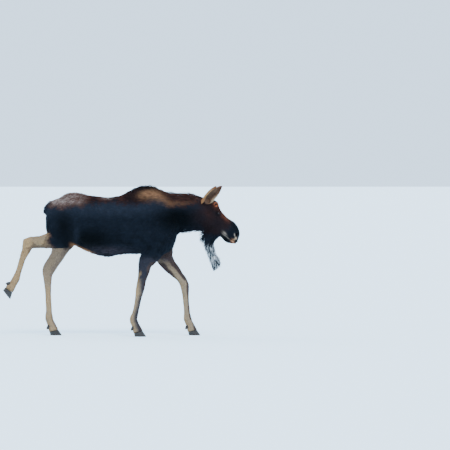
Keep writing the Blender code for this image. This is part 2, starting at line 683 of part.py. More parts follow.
def coronet(foot, spare):
    """(point, normal) of the plane between foot and claws, moved up by `spare`, in world axes."""
    slope = (CLAW_HEIGHT - HEEL_HEIGHT) / CLAW_LENGTH
    normal = Vector((0, slope, 1)).normalized()
    point = place(0, 0, (CLAW_HEIGHT + HEEL_HEIGHT) / 2) + normal * spare
    frame = foot_frame(foot)
    return frame @ point, frame.to_3x3() @ normal


def sliced(mesh, point, normal, keep_above):
    """The mesh on one side of a plane, closed again."""
    shape = bmesh.new()
    shape.from_mesh(mesh)
    geometry = shape.verts[:] + shape.edges[:] + shape.faces[:]
    cut = bmesh.ops.bisect_plane(
        shape,
        geom=geometry,
        dist=1e-6,
        plane_co=point,
        plane_no=normal,
        clear_inner=keep_above,
        clear_outer=not keep_above,
    )
    rim = [piece for piece in cut["geom_cut"] if isinstance(piece, bmesh.types.BMEdge)]
    bmesh.ops.triangle_fill(shape, use_beauty=True, edges=rim)
    bmesh.ops.recalc_face_normals(shape, faces=shape.faces)
    bmesh.ops.triangulate(shape, faces=shape.faces)  # so that later cuts meet the faces as they are
    result = bpy.data.meshes.new(mesh.name)
    shape.to_mesh(result)
    shape.free()
    return result


def claw_mesh(foot, inner_sign):
    """One claw of a cloven hoof: flat inside, bowed outside, pointed at the toe and leaning back."""
    rings = []
    for up in (0.0, 0.014, 0.045, 0.100):
        toe = CLAW_LENGTH / 2 - TOE_SLOPE * up
        heel = -CLAW_LENGTH / 2 - HEEL_SLOPE * up
        ring = []
        for i in range(16):
            turn = 2 * math.pi * i / 16
            share = 0.5 - 0.5 * math.cos(turn)  # 0 at the toe, 1 at the heel
            bow = CLAW_WIDTH * math.sin(math.pi * (0.10 + 0.74 * share)) ** 0.75
            bow *= 1.0 if up > 0.001 else 0.95  # the sole's edge is a little worn
            lean = abs(math.sin(turn)) ** 0.5
            across = bow * lean if math.sin(turn) >= 0 else -0.05 * bow * lean
            ring.append(place(inner_sign * (CLAW_SPLIT / 2 + 0.003 + across), toe + (heel - toe) * share, up))
        rings.append(ring)
    mesh = mesh_of_rings("claw", rings)
    mesh.transform(foot_frame(foot))
    point, normal = coronet(foot, 0.0)
    return sliced(mesh, point, normal, keep_above=False)


def dewclaw_mesh(foot, inner_sign):
    """A small blunt horn behind the pastern."""
    start, tip = (0.024, -0.080, 0.122), (0.034, -0.110, 0.072)
    rings = []
    for share, swell in ((0.0, 1.0), (0.5, 1.0), (0.85, 0.66), (1.0, 0.22)):
        centre = [a + (b - a) * share for a, b in zip(start, tip)]
        ring = []
        for i in range(8):
            turn = 2 * math.pi * i / 8
            side = centre[0] + 0.017 * swell * math.cos(turn)
            forward = centre[1] + 0.019 * swell * math.sin(turn)
            ring.append(place(inner_sign * side, forward, centre[2] - 0.006 * swell * math.sin(turn)))
        rings.append(ring)
    mesh = mesh_of_rings("dewclaw", rings)
    mesh.transform(foot_frame(foot))
    return mesh


def leg_node(foot):
    fore_or_hind, side = foot.split("_")
    return ("foreleg_" if fore_or_hind == "front" else "hind_leg_") + side + "_lower"


def fit_feet(pieces):
    """Cuts each lower leg at the coronet, and adds its two claws and two dewclaws."""
    for foot in FEET:
        leg = leg_node(foot)
        point, normal = coronet(foot, GAP)
        pieces[leg] = sliced(pieces[leg], point, normal, keep_above=True)
        hoof_free = grown(pieces[leg], GAP)
        for label, sign in (("outer", 1), ("inner", -1)):
            turned = sign if foot.endswith("left") else -sign
            pieces[f"hoof_{foot}_{label}"] = claw_mesh(foot, turned)
            pieces[f"dewclaw_{foot}_{label}"] = boolean(dewclaw_mesh(foot, turned), hoof_free, "DIFFERENCE")


def fit_head(pieces):
    """Sets the eyes in their sockets, and the pedicles and ears against the skull."""
    for label, sign in (("left", 1), ("right", -1)):
        centre = head_frame() @ place(sign * EYE[0], *EYE[1:])
        pieces["head"] = boolean(pieces["head"], ball("socket", centre, EYE_RADIUS + GAP), "DIFFERENCE")
        pieces["eye_" + label] = ball("eye", centre, EYE_RADIUS)
    skull_free = grown(pieces["head"], 2 * GAP)
    for label, sign in (("left", 1), ("right", -1)):
        pedicle = boolean(pedicle_mesh("pedicle", sign), skull_free, "DIFFERENCE")
        pieces["pedicle_" + label] = pedicle
    brow_free, neck_free = grown(pieces["head"], 4 * GAP), grown(pieces["neck"], 2 * GAP)
    for name, shape in EARS.items():
        outside = boolean(ear_mesh(name, *shape), brow_free, "DIFFERENCE")
        pieces[name] = boolean(outside, neck_free, "DIFFERENCE")


def fit_tail(pieces):
    """Lays the tail on the rump."""
    pieces["tail"] = boolean(limb("tail", TAIL, points=12), grown(pieces["trunk"], 2 * GAP), "DIFFERENCE")


def finish_of(node):
    kinds = (("hoof", "horn"), ("dewclaw", "horn"), ("eye", "eye"), ("pedicle", "bone"), ("ear", "ear_coat"))
    for start, name in kinds:
        if node.startswith(start):
            return name
    pale = node.startswith("hind_leg") or node.endswith("_lower")
    return "leg_coat" if pale else "coat"


def largest_body(mesh):
    """The mesh without the crumbs that a cut can leave."""
    shape = bmesh.new()
    shape.from_mesh(mesh)
    left = set(shape.verts)
    islands = []
    while left:
        island, todo = set(), [left.pop()]
        while todo:
            vertex = todo.pop()
            island.add(vertex)
            for edge in vertex.link_edges:
                other = edge.other_vert(vertex)
                if other in left:
                    left.remove(other)
                    todo.append(other)
        islands.append(island)
    islands.sort(key=len)
    crumbs = [vertex for island in islands[:-1] for vertex in island]
    bmesh.ops.delete(shape, geom=crumbs, context="VERTS")
    bmesh.ops.triangulate(shape, faces=shape.faces)
    shape.to_mesh(mesh)
    shape.free()
    return mesh


def main():
    clear_scene()
    pieces = part_body(joined_body())
    fit_feet(pieces)
    fit_head(pieces)
    fit_tail(pieces)
    for node in sorted(pieces):
        mesh = largest_body(pieces[node])
        mesh.name = node
        mesh.transform(Matrix.Translation(place(0, CENTRING, 0)))
        made = add_object(node, mesh, finish_of(node))
        if not node.startswith("hoof"):
            made.data.shade_smooth()


main()
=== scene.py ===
"""The looks of a life-size bull moose in winter coat, walking, its antlers shed.

One skin replaces every piece of flesh of the construction model and lies inside it by the coat's depth. The
coat is solid tufts that stand on the skin and follow the lie of the hair. Eyes, burrs, hooves and dewclaws
are pieces of their own. Shapes are given in metres, as side (the animal's left is plus), forward and up.
"""

import math

import bmesh
import bpy
import numpy as np
from mathutils import Matrix, Vector
from mathutils.bvhtree import BVHTree
from mathutils.kdtree import KDTree


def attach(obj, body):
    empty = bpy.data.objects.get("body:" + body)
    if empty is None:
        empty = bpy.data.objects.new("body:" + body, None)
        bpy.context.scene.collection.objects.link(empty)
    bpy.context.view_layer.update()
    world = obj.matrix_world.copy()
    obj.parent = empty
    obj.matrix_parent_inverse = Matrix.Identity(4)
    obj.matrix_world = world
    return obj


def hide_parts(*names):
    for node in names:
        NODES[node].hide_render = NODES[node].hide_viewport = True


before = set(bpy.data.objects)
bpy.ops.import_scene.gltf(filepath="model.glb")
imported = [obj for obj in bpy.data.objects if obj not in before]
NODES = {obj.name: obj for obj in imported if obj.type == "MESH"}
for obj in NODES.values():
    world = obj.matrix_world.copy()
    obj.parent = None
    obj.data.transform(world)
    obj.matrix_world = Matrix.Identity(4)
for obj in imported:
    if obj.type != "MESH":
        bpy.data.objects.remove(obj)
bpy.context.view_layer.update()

NOT_FLESH = ("eye", "pedicle", "hoof", "dewclaw", "ear")
FLESH = sorted(name for name in NODES if not name.startswith(NOT_FLESH))
EARS = sorted(name for name in NODES if name.startswith("ear_"))
FEET = ("front_left", "front_right", "rear_left", "rear_right")
LEGS = ("foreleg_left", "foreleg_right", "hind_leg_left", "hind_leg_right")

MIRROR = (1, -1, 1)  # between world axes and side, forward, up
MM = 1000  # in a metre
WELD = 1e-5  # corners closer than this are one
SEAM = 0.0006  # how far each piece of flesh is grown, so that the cuts between them close
VOXEL = 0.0118  # grain of the joined skin
HEAD_PITCH = math.radians(48.3)
HEAD_ORIGIN = (0.0, -1.014, 1.632)  # top of the skull between the ears, in world axes

# In the head frame, on the left.
EYE = np.array((0.085, 0.216, 0.008))
EYE_RADIUS = 0.021
EYE_OUT = np.array((1.0, 0.20, 0.10)) / math.hypot(1.0, 0.20, 0.10)
LID = 0.0032  # how thick the lids are
OPENING = (0.0185, 0.0115, 0.0090)  # half the eye's opening along it, above and below
NOSTRIL = (0.552, -0.004)  # along and up, its middle
PEDICLE = (0.084, 0.118, 0.050)
PEDICLE_RADIUS = 0.026

HEAD = Matrix.Translation(HEAD_ORIGIN) @ Matrix.Rotation(HEAD_PITCH, 4, "X")
HEAD_INVERSE = np.array(HEAD.inverted())
HEAD_FORWARD = np.array(HEAD)


# ---- arithmetic on arrays of points


def unit(vectors):
    return vectors / np.maximum(np.linalg.norm(vectors, axis=-1, keepdims=True), 1e-12)


def smooth(value, low, high):
    """0 below low, 1 above high and an S between; low may be the greater."""
    t = np.clip((value - low) / (high - low), 0, 1)
    return t * t * (3 - 2 * t)


def plateau(value, start, full, fading, end):
    """Rises from 0 at start to 1 at full, and falls from 1 at fading to 0 at end."""
    return smooth(value, start, full) * smooth(value, end, fading)


def hump(value, centre, width):
    return np.exp(-(((value - centre) / width) ** 2))


def spot(points, centre, radii):
    """A soft round spot: 1 in its middle and near 0 past its radii."""
    return np.exp(-((((points - np.array(centre)) / np.array(radii)) ** 2).sum(1)) * 1.6)


def read(table, at):
    """The values at these places of a table of (place, value) rows."""
    return np.interp(at, *zip(*table))


def waves(points, size, seed, count=9):
    """Smooth noise from -1 to 1 with about this wavelength."""
    rng = np.random.default_rng(seed)
    total = np.zeros(len(points))
    for _ in range(count):
        way = unit(rng.normal(size=3)) * rng.uniform(0.7, 1.5) * 2 * math.pi / size
        total += np.sin(points @ way + rng.uniform(0, 2 * math.pi))
    return np.clip(total / math.sqrt(count), -1.6, 1.6) / 1.6


def own_axes(points):
    """World points as side, forward, up, or back again."""
    return points * MIRROR


def head_axes(points):
    """World points as side, along the face from the poll, and up from the face, in the head's own frame."""
    return own_axes(points @ HEAD_INVERSE[:3, :3].T + HEAD_INVERSE[:3, 3])


def folded_head(points):
    """Points in the head frame, folded onto its left side, and the sign of the side that they came from."""
    own = head_axes(points)
    signs = np.where(own[:, 0] < 0, -1.0, 1.0)
    own[:, 0] = np.abs(own[:, 0])
    return own, signs


def head_to_world(spots):
    return own_axes(np.asarray(spots, float)) @ HEAD_FORWARD[:3, :3].T + HEAD_FORWARD[:3, 3]


def head_turned(ways):
    """Directions of the head frame in side, forward, up."""
    return own_axes(own_axes(np.asarray(ways, float)) @ HEAD_FORWARD[:3, :3].T)


def on_each_side(way, signs):
    """A direction of the head frame in world axes, for each point on its own side."""
    ways = np.tile(unit(own_axes(head_turned(way))), (len(signs), 1))
    ways[:, 0] *= signs
    return ways


def run_lengths(line):
    """How far along a line each of its points lies."""
    return np.concatenate([[0], np.cumsum(np.linalg.norm(np.diff(line, axis=0), axis=1))])


# ---- meshes


def rows_of(items, field, width, kind=float):
    """One row of numbers for each of a mesh's items."""
    found = np.empty(len(items) * width, kind)
    items.foreach_get(field, found)
    return found.reshape(-1, width)


def vertices_of(mesh):
    return rows_of(mesh.vertices, "co", 3)


def normals_of(mesh):
    return rows_of(mesh.vertex_normals, "vector", 3)


def triangles_of(mesh):
    mesh.calc_loop_triangles()
    return rows_of(mesh.loop_triangles, "vertices", 3, np.int32)


def move_vertices(mesh, co):
    mesh.vertices.foreach_set("co", co.ravel())
    mesh.update()


def linked(name, mesh):
    made = bpy.data.objects.new(name, mesh)
    bpy.context.scene.collection.objects.link(made)
    return made


def shape_of(*meshes):
    """The meshes in one bmesh."""
    shape = bmesh.new()
    for mesh in meshes:
        shape.from_mesh(mesh)
    return shape


def write_shape(shape, mesh):
    """Writes the bmesh into a mesh, and gives the bmesh up."""
    shape.to_mesh(mesh)
    shape.free()
    mesh.update()


def mesh_of(shape, name):
    mesh = bpy.data.meshes.new(name)
    write_shape(shape, mesh)
    return mesh


def tube_mesh(name, rings):
    """A closed tube through rings of world points."""
    shape = bmesh.new()
    loops = [[shape.verts.new(Vector(point)) for point in ring] for ring in rings]
    for lower, upper in zip(loops, loops[1:]):
        for i in range(len(lower)):
            j = (i + 1) % len(lower)
            shape.faces.new((lower[i], lower[j], upper[j], upper[i]))
    shape.faces.new(reversed(loops[0]))
    shape.faces.new(loops[-1])
    bmesh.ops.recalc_face_normals(shape, faces=shape.faces)
    bmesh.ops.triangulate(shape, faces=[face for face in shape.faces if len(face.verts) > 4])
    return mesh_of(shape, name)


def remeshed(name, mesh, voxel):
    """The mesh joined into one closed surface of even quads."""
    rough = linked(name, mesh)
    step = rough.modifiers.new("join", "REMESH")
    step.mode = "VOXEL"
    step.voxel_size = voxel
    graph = bpy.context.evaluated_depsgraph_get()
    result = bpy.data.meshes.new_from_object(rough.evaluated_get(graph))
    bpy.data.objects.remove(rough)
    return result


def melt(mesh, co, weight, passes, steps=(0.5, -0.53)):
    """Smooths without shrinking: each pass moves towards the neighbours' mean and then nearly as far back."""
    edges = rows_of(mesh.edges, "vertices", 2, np.int32)
    ends, others = np.concatenate([edges, edges[:, ::-1]]).T
    count = np.bincount(ends, minlength=len(co)).clip(1)[:, None]
    for _ in range(passes):
        for step in steps:
            sums = [np.bincount(ends, co[others, k], len(co)) for k in range(3)]
            co = co + (np.stack(sums, axis=1) / count - co) * (step * weight)[:, None]
    move_vertices(mesh, co)
    return co


# ---- the lie of the coat


def centre_line(names, slabs=9):
    """The middle line through pieces that follow each other, from the end that is nearest the trunk."""
    line = []
    for name in names:
        co = vertices_of(NODES[name].data)
        middle = co.mean(0)
        main = np.linalg.svd(co - middle, full_matrices=False)[2][0]
        at = (co - middle) @ main
        edges = np.linspace(at.min(), at.max(), slabs + 1)
        points = []
        for low, high in zip(edges, edges[1:]):
            inside = co[(at >= low - 0.01) & (at <= high + 0.01)]
            points.append((inside.min(0) + inside.max(0)) / 2)
        near = line[-1] if line else np.array((middle[0], middle[1] * 0.5, 1.5))
        if np.linalg.norm(points[-1] - near) < np.linalg.norm(points[0] - near):
            points.reverse()
        line += points
    return np.array(line)


LEG_LINES = {leg: centre_line((leg + "_upper", leg + "_lower")) for leg in LEGS}

# (side, forward, up), the way the hair runs there, its length in mm,
# its lift in degrees and the coat's depth in mm.
# Rows off the middle plane are mirrored.
TRUNK_COAT = (
    ((0, -0.86, 1.6), (0, -0.7, -0.7), 46, 7, 10),
    ((0, -0.6, 1.73), (0, -1, -0.1), 50, 7, 10),
    ((0, -0.2, 1.67), (0, -1, 0), 52, 7, 11),
    ((0, 0.1, 1.76), (0, -1, -0.2), 58, 8, 12),
    ((0, 0.28, 1.81), (0, -1, 0), 66, 9, 15),
    ((0, 0.45, 1.74), (0, -1, 0.35), 74, 14, 17),
    ((0, 0.62, 1.715), (0, -1, 0.05), 84, 23, 20),
    ((0, 0.85, 1.7), (0, -0.95, 0.15), 78, 25, 17),
    ((0, 1.0, 1.64), (0, -0.9, 0.4), 44, 13, 11),
    ((0.15, -0.86, 1.5), (0.1, -0.5, -0.85), 40, 7, 9),
    ((0.22, -0.6, 1.55), (0.1, -0.8, -0.5), 44, 6, 9),
    ((0.26, -0.2, 1.5), (0.1, -0.9, -0.4), 45, 6, 9),
    ((0.25, 0.1, 1.55), (0.1, -0.85, -0.45), 48, 6, 10),
    ((0.24, 0.3, 1.55), (0.1, -0.75, -0.6), 52, 7, 11),
    ((0.21, 0.5, 1.55), (0.1, -0.8, -0.55), 56, 8, 12),
    ((0.17, 0.7, 1.55), (0.1, -0.85, -0.4), 56, 9, 12),
    ((0.13, 0.88, 1.52), (0.1, -0.9, -0.3), 46, 10, 11),
    ((0.24, -0.75, 1.3), (0.1, -0.45, -0.85), 38, 6, 9),
    ((0.28, -0.45, 1.3), (0.1, -0.8, -0.5), 41, 6, 9),
    ((0.3, -0.15, 1.25), (0.1, -0.9, -0.4), 43, 6, 9),
    ((0.29, 0.1, 1.25), (0.1, -0.85, -0.5), 44, 6, 9),
    ((0.26, 0.33, 1.22), (0.1, -0.45, -0.85), 43, 6, 9),
    ((0.22, 0.5, 1.25), (0.1, -0.35, -0.9), 46, 7, 10),
    ((0.17, 0.66, 1.35), (0.1, -0.55, -0.8), 58, 9, 12),
    ((0.13, 0.88, 1.33), (0.1, -0.7, -0.6), 56, 11, 12),
    ((0.2, -0.8, 1.12), (0.1, -0.35, -0.9), 34, 7, 8),
    ((0.22, -0.55, 1.1), (0, -0.9, -0.4), 44, 9, 11),
    ((0, -0.8, 1.12), (0, -0.4, -1), 32, 8, 8),
    ((0, -0.45, 1.0), (0, -1, -0.1), 52, 15, 13),
    ((0.1, -0.15, 0.955), (0, -1, -0.15), 58, 18, 13),
    ((0.1, 0.15, 0.965), (0, -1, -0.15), 58, 18, 13),
    ((0, 0.4, 0.965), (0, -0.85, -0.4), 58, 16, 14),
    ((0, 0.57, 1.05), (0, -0.4, -1), 62, 12, 14),
    ((0, 0.62, 1.2), (0, -0.35, -1), 70, 16, 15),
    ((0, 0.8, 1.26), (0, -0.8, -0.5), 80, 26, 15),
    ((0, 0.92, 1.25), (0, -0.75, -0.7), 94, 38, 17),
    ((0, 0.99, 1.2), (0, -0.7, -0.8), 100, 42, 17),
    ((0.1, -0.92, 1.35), (0, -0.3, -1), 40, 7, 9),
    ((0, -0.9, 1.25), (0, -0.2, -1), 36, 8, 9),
    ((0, -0.92, 1.53), (0, -0.35, -1), 42, 10, 7),
    ((0.02, 1.05, 1.16), (0, -0.15, -1), 75, 18, 12),
    ((0.02, 1.07, 1.0), (0, 0.12, -1), 70, 12, 10),
    ((0.02, 1.12, 0.9), (0, 0.12, -1), 65, 12, 9),
    ((0.02, 1.11, 0.82), (0, -0.05, -1), 45, 8, 6),
)
# The same along the face, in the head frame.
HEAD_COAT = (
    ((0, 0.6, -0.03), (0, -0.5, 0.8), 7, 10, 2),
    ((0, 0.5, 0.07), (0, -1, 0.05), 9, 10, 2.5),
    ((0, 0.35, 0.045), (0, -1, 0), 13, 10, 3.5),
    ((0, 0.2, 0.05), (0, -1, 0.15), 18, 11, 4.5),
    ((0, 0.11, 0.09), (0, -1, -0.1), 22, 13, 6),
    ((0, 0.02, 0.04), (0, -1, -0.4), 32, 15, 8),
    ((0.085, 0.53, 0), (0, -1, -0.15), 7, 8, 2),
    ((0.085, 0.45, -0.03), (0, -1, -0.2), 9, 8, 2.5),
    ((0.075, 0.33, -0.09), (0, -1, -0.4), 13, 8, 3.5),
    ((0.09, 0.22, -0.05), (0, -1, -0.25), 14, 8, 4),
    ((0.07, 0.15, -0.15), (0, -1, -0.5), 20, 10, 5),
    ((0.09, 0.04, -0.1), (0, -1, -0.4), 26, 10, 6),
    ((0.05, 0.6, -0.09), (0, -1, -0.1), 7, 8, 2),
    ((0, 0.56, -0.15), (0, -0.9, -0.4), 12, 12, 3.5),
    ((0.03, 0.46, -0.15), (0, -1, -0.25), 14, 12, 3.5),
    ((0, 0.3, -0.22), (0, -1, -0.25), 24, 15, 6),
    ((0, 0.16, -0.26), (0, -1, -0.3), 45, 20, 9),
)
# Down each leg: (share of the way from its first piece's top to the coronet, length, lift, depth).
LEG_COAT = (
    (0, 36, 7, 8),
    (0.25, 28, 7, 5.5),
    (0.45, 20, 7, 3.5),
    (0.7, 16, 7, 2.6),
    (1.0, 20, 9, 3),
)
EAR_COAT = ((0.1, 22, 14, 1.8), (0.5, 18, 12, 1.4), (1.0, 15, 8, 1))

# Each ear's root, its tip and the way that the opening faces, as side, forward and up. Then how wide the
# ear is turned open, and how far its middle bulges forward of its line.
EAR_SHAPES = {
    "ear_left": ((0.078, 0.987, 1.596), (0.222, 1.134, 1.793), (0.88, 0.38, -0.22), 1.00, 0.006),
    "ear_right": ((-0.078, 0.982, 1.598), (-0.165, 1.205, 1.797), (-0.90, 0.34, -0.24), 1.16, 0.003),
}


def coat_anchors():
    """Where the coat is known: places and ways as side, forward, up, and (length, lift, depth)."""
    rows = [(place, way, coat) for place, way, *coat in TRUNK_COAT]
    rows += [(own_axes(head_to_world(place)), head_turned(way), coat) for place, way, *coat in HEAD_COAT]
    other = np.array((-1, 1, 1))
    rows += [(place * other, way * other, coat) for place, way, coat in rows if place[0]]
    shares, *columns = zip(*LEG_COAT)
    for line in LEG_LINES.values():
        share = run_lengths(line) / run_lengths(line)[-1]
        run = own_axes(np.gradient(line, axis=0))
        for i in range(0, len(line), 2):
            coat = [np.interp(share[i], shares, column) for column in columns]
            rows.append((own_axes(line[i]), run[i], coat))
    for root, tip, *_ in EAR_SHAPES.values():
        along = np.subtract(tip, root)
        rows += [(root + along * share, along, coat) for share, *coat in EAR_COAT]
    places, ways, coats = (np.array(column, float) for column in zip(*rows))
    return places, unit(ways), coats / (MM, 1, MM)


ANCHORS = coat_anchors()
REACH = 0.02  # anchors closer than this count nearly alike
BATCH = 20000  # points at a time, to spare memory


def coat_at(points):
    """(the way the hair runs in world axes, length, lift in radians, depth) at world points."""
    places, ways, coats = ANCHORS
    own = own_axes(points)
    way, coat = np.empty((len(points), 3)), np.empty((len(points), 3))
    for start in range(0, len(points), BATCH):
        part = slice(start, start + BATCH)
        gap = ((own[part, None, :] - places[None]) ** 2).sum(2)
        weight = 1 / (gap + REACH**2) ** 2
        weight /= weight.sum(1, keepdims=True)
        way[part] = weight @ ways
        coat[part] = weight @ coats
    return own_axes(unit(way)), coat[:, 0], np.radians(coat[:, 1]), coat[:, 2]


# ---- the head's features


def eye_along():
    """The way along the lids, square to the way that the eye looks."""
    level = np.array((0.0, 1.0, -0.22))
    return unit(level - EYE_OUT * (level @ EYE_OUT))


EYE_ALONG = eye_along()
EYE_UP = np.cross(EYE_OUT, EYE_ALONG)


def eye_places(own):
    """Folded points of the head frame in the eye's own axes: along the lids, up and out."""
    from_eye = own - EYE
    return from_eye @ EYE_ALONG, from_eye @ EYE_UP, from_eye @ EYE_OUT


def eye_opening(u, v):
    """Below 1 inside the almond of the lids."""
    half = np.where(v > 0, OPENING[1], OPENING[2])
    return (u / OPENING[0]) ** 2 + np.abs(v) / half


def nostril_reach(own):
    """Below 1 inside the nostril: a comma that leans back as it rises."""
    along, up = own[:, 1] - NOSTRIL[0], own[:, 2] - NOSTRIL[1]
    bend = along + 0.45 * up - 14.0 * up**2 * (up > 0)
    return np.sqrt((bend / 0.0105) ** 2 + (up / 0.026) ** 2)


def mouth_height(along):
    """The line of the mouth, up in the head frame."""
    return -0.108 + 0.183 * (along - 0.410) - 0.007 * np.sin(np.clip((along - 0.41) / 0.2, 0, 1) * math.pi)


def near_head(points):
    own = head_axes(points)
    return (own[:, 1] > 0.03) & (own[:, 2] > -0.30)


def near_eyes(points, reach=0.040):
    return np.linalg.norm(folded_head(points)[0] - EYE, axis=1) < reach


def near_features(points):
    """Close to an eye, a nostril or the mouth."""
    side, along, up = folded_head(points)[0].T
    front = (along > 0.485) & (up < 0.035) & (up > -0.05) & (side > 0.03)
    lips = (along > 0.40) & (np.abs(up + 0.095) < 0.024)
    return near_eyes(points, 0.055) | front | lips


def half_ball(radius, radial):
    """The height of a ball this far from its axis."""
    return np.sqrt(np.clip(radius**2 - radial**2, 0, None))


def face_relief(own):
    """How far the face stands out: lips, nose, folds, ridge and cheek."""
    side, along, up = own.T
    # mouth: a sunk line with full lips on both sides
    over = up - mouth_height(along)
    lips = 0.0035 * hump(over, 0.015, 0.010) + 0.0030 * hump(over, -0.012, 0.008)
    lips -= 0.0075 * hump(over, 0, 0.0038)
    # the bridge of the nose
    bridge = 0.007 * hump(along, 0.30, 0.075) * smooth(up, -0.01, 0.03) * smooth(side, 0.080, 0.040)
    # the bulge of the nose over the nostril and the fold behind it
    flank = 0.004 * hump(along, 0.520, 0.020) * hump(up, 0.018, 0.030)
    fold = along - (0.500 - 0.35 * (up - 0.01))
    flank -= 0.0028 * hump(fold, 0.0, 0.0055) * hump(up, 0.012, 0.028)
    # creases of the upper lip
    for k in range(4):
        crease = along - (0.470 + 0.028 * k) + 0.5 * (up + 0.06)
        flank -= 0.0014 * hump(crease, 0, 0.0045) * hump(up, -0.060, 0.020)
    # the ridge from the eye down to the muzzle, and the hollow in front of the eye
    ridge = up - (-0.040 + 0.10 * (along - 0.25))
    flank += 0.0030 * hump(ridge, 0, 0.010) * plateau(along, 0.24, 0.29, 0.36, 0.43)
    flank -= 0.0035 * spot(own, (0.085, 0.262, -0.004), (0.05, 0.020, 0.012))
    # the cheek muscle's rear and lower edge
    cheek = np.hypot((along - 0.165) / 0.115, (up + 0.140) / 0.085)
    flank += 0.003 * (smooth(cheek, 1.0, 0.7) - hump(cheek, 1.12, 0.10)) * smooth(along, 0.05, 0.09)
    relief = smooth(along, 0.395, 0.44) * lips + bridge + smooth(side, 0.02, 0.05) * flank
    return relief * smooth(along, 0.02, 0.08)


def sculpt_head(co, normals):
    """Raises the face's forms, sinks the nostrils and draws the lids round the eyes."""
    own, signs = folded_head(co)
    side, along, _ = own.T
    co = co + normals * face_relief(own)[:, None]
    hole = nostril_reach(own)
    depth = 0.022 * smooth(hole, 1.08, 0.55) - 0.0030 * hump(hole, 1.35, 0.25)
    depth *= smooth(side, 0.030, 0.045) * (along > 0.5)
    co = co + on_each_side((-1.0, -0.45, 0.05), signs) * depth[:, None]
    # the lids lie over the ball, with a fold and a brow, and the socket sinks inside their opening
    u, v, w = eye_places(own)
    radial = np.hypot(u, v)
    lids = EYE_RADIUS + LID
    height = np.where(radial < lids, np.maximum(w, half_ball(lids, radial)), w)
    opening = eye_opening(u, v)
    height += 0.0016 * hump(opening, 1.35, 0.25) * (v > 0)
    height -= 0.0022 * hump(opening, 2.15, 0.28) * smooth(radial, 0.034, 0.026)
    height += 0.0035 * hump(v, 0.030, 0.010) * hump(u, 0.0, 0.028)
    height = np.where(opening < 1.0, half_ball(EYE_RADIUS, radial) - 0.005, height)
    shift = np.where((radial < 0.045) & (w > -0.005), height - w, 0.0)
    return co + on_each_side(EYE_OUT, signs) * shift[:, None]


# ---- the ears


# Shares of the length, radius of the cup, half the angle that it wraps and thickness.
EAR_SECTIONS = (
    (-0.12, 0.024, 2.90, 0.016),
    (0.00, 0.038, 2.60, 0.016),
    (0.12, 0.047, 2.30, 0.014),
    (0.26, 0.053, 1.80, 0.012),
    (0.42, 0.054, 1.45, 0.011),
    (0.58, 0.051, 1.25, 0.010),
    (0.74, 0.044, 1.08, 0.009),
    (0.88, 0.031, 0.90, 0.008),
    (0.97, 0.014, 0.80, 0.007),
    (1.00, 0.006, 0.70, 0.005),
)
EAR_SPINE = 0.75  # how nearly straight the ear's back runs
EAR_INSET = 0.0014  # how far the ear's skin lies inside its outlines
EAR_END = (0.038, 0.032)  # the spine's radius at the root, and how much of it is lost at the tip


def ear_axes(root, tip, opening):
    """The ear's root, its length, and the ways along it, out of its opening and towards its front edge."""
    start, end = np.array(root), np.array(tip)
    length = np.linalg.norm(end - start)
    along = (end - start) / length
    facing = unit(np.array(opening) - along * (np.array(opening) @ along))
    across = np.cross(along, facing)
    return start, length, along, facing, across * (1 if across[1] > 0 else -1)


def ear_section(share, width, sway):
    """At a share of the length: radius, wrap, thickness, and how far the middle lies out and ahead."""
    sections = np.array(EAR_SECTIONS)
    radius, wrap, thick = (np.interp(share, sections[:, 0], sections[:, k]) for k in (1, 2, 3))
    rising = np.maximum(share, 0)
    spread = 1 + (width - 1) * smooth(share, 0.05, 0.35)
    out = EAR_SPINE * spread * (radius - (EAR_END[0] - EAR_END[1] * rising)) * (share > 0)
    out = out - 0.012 * np.sin(math.pi * rising)
    return radius * spread, wrap, thick, out, sway * np.sin(math.pi * rising**0.6)


def ear_surface(root, tip, opening, width, sway, lengths=44, turns=22):
    """The ear as rings of (outer, inner) points, from deep in the skull to the tip, as side, forward, up."""
    start, length, along, facing, across = ear_axes(root, tip, opening)
    rings = []
    for share in np.linspace(-0.12, 1.0 - 0.006, lengths):
        radius, wrap, thick, out, ahead = ear_section(share, width, sway)
        centre = start + along * (length * share) + facing * out + across * ahead
        turned = np.linspace(-wrap, wrap, turns)[:, None] * 0.985
        spokes = across * np.sin(turned) - facing * np.cos(turned)
        outer = spokes * max(radius - EAR_INSET, 0.002)
        inner = spokes[::-1] * max(radius - thick + EAR_INSET, 0.2 * radius, 0.001)
        rings.append(centre + np.concatenate([outer, inner]))
    return np.array(rings)


# ---- the skin


def joined_flesh():
    """All the flesh and the eyes in one mesh, each piece grown a little so that no cut stays open."""
    shape = shape_of(*(NODES[name].data for name in [*FLESH, "eye_left", "eye_right"]))
    bmesh.ops.remove_doubles(shape, verts=shape.verts, dist=WELD)
    shape.normal_update()
    for vertex in shape.verts:
        vertex.co += vertex.normal * SEAM
    return remeshed("flesh", mesh_of(shape, "flesh"), VOXEL)


def refine(mesh, inside):
    """Splits in four each face whose middle passes the test."""
    shape = shape_of(mesh)
    chosen = inside(np.array([face.calc_center_median() for face in shape.faces]))
    edges = {edge for face, pick in zip(shape.faces, chosen) if pick for edge in face.edges}
    bmesh.ops.subdivide_edges(shape, edges=list(edges), cuts=1, use_grid_fill=True)
    write_shape(shape, mesh)


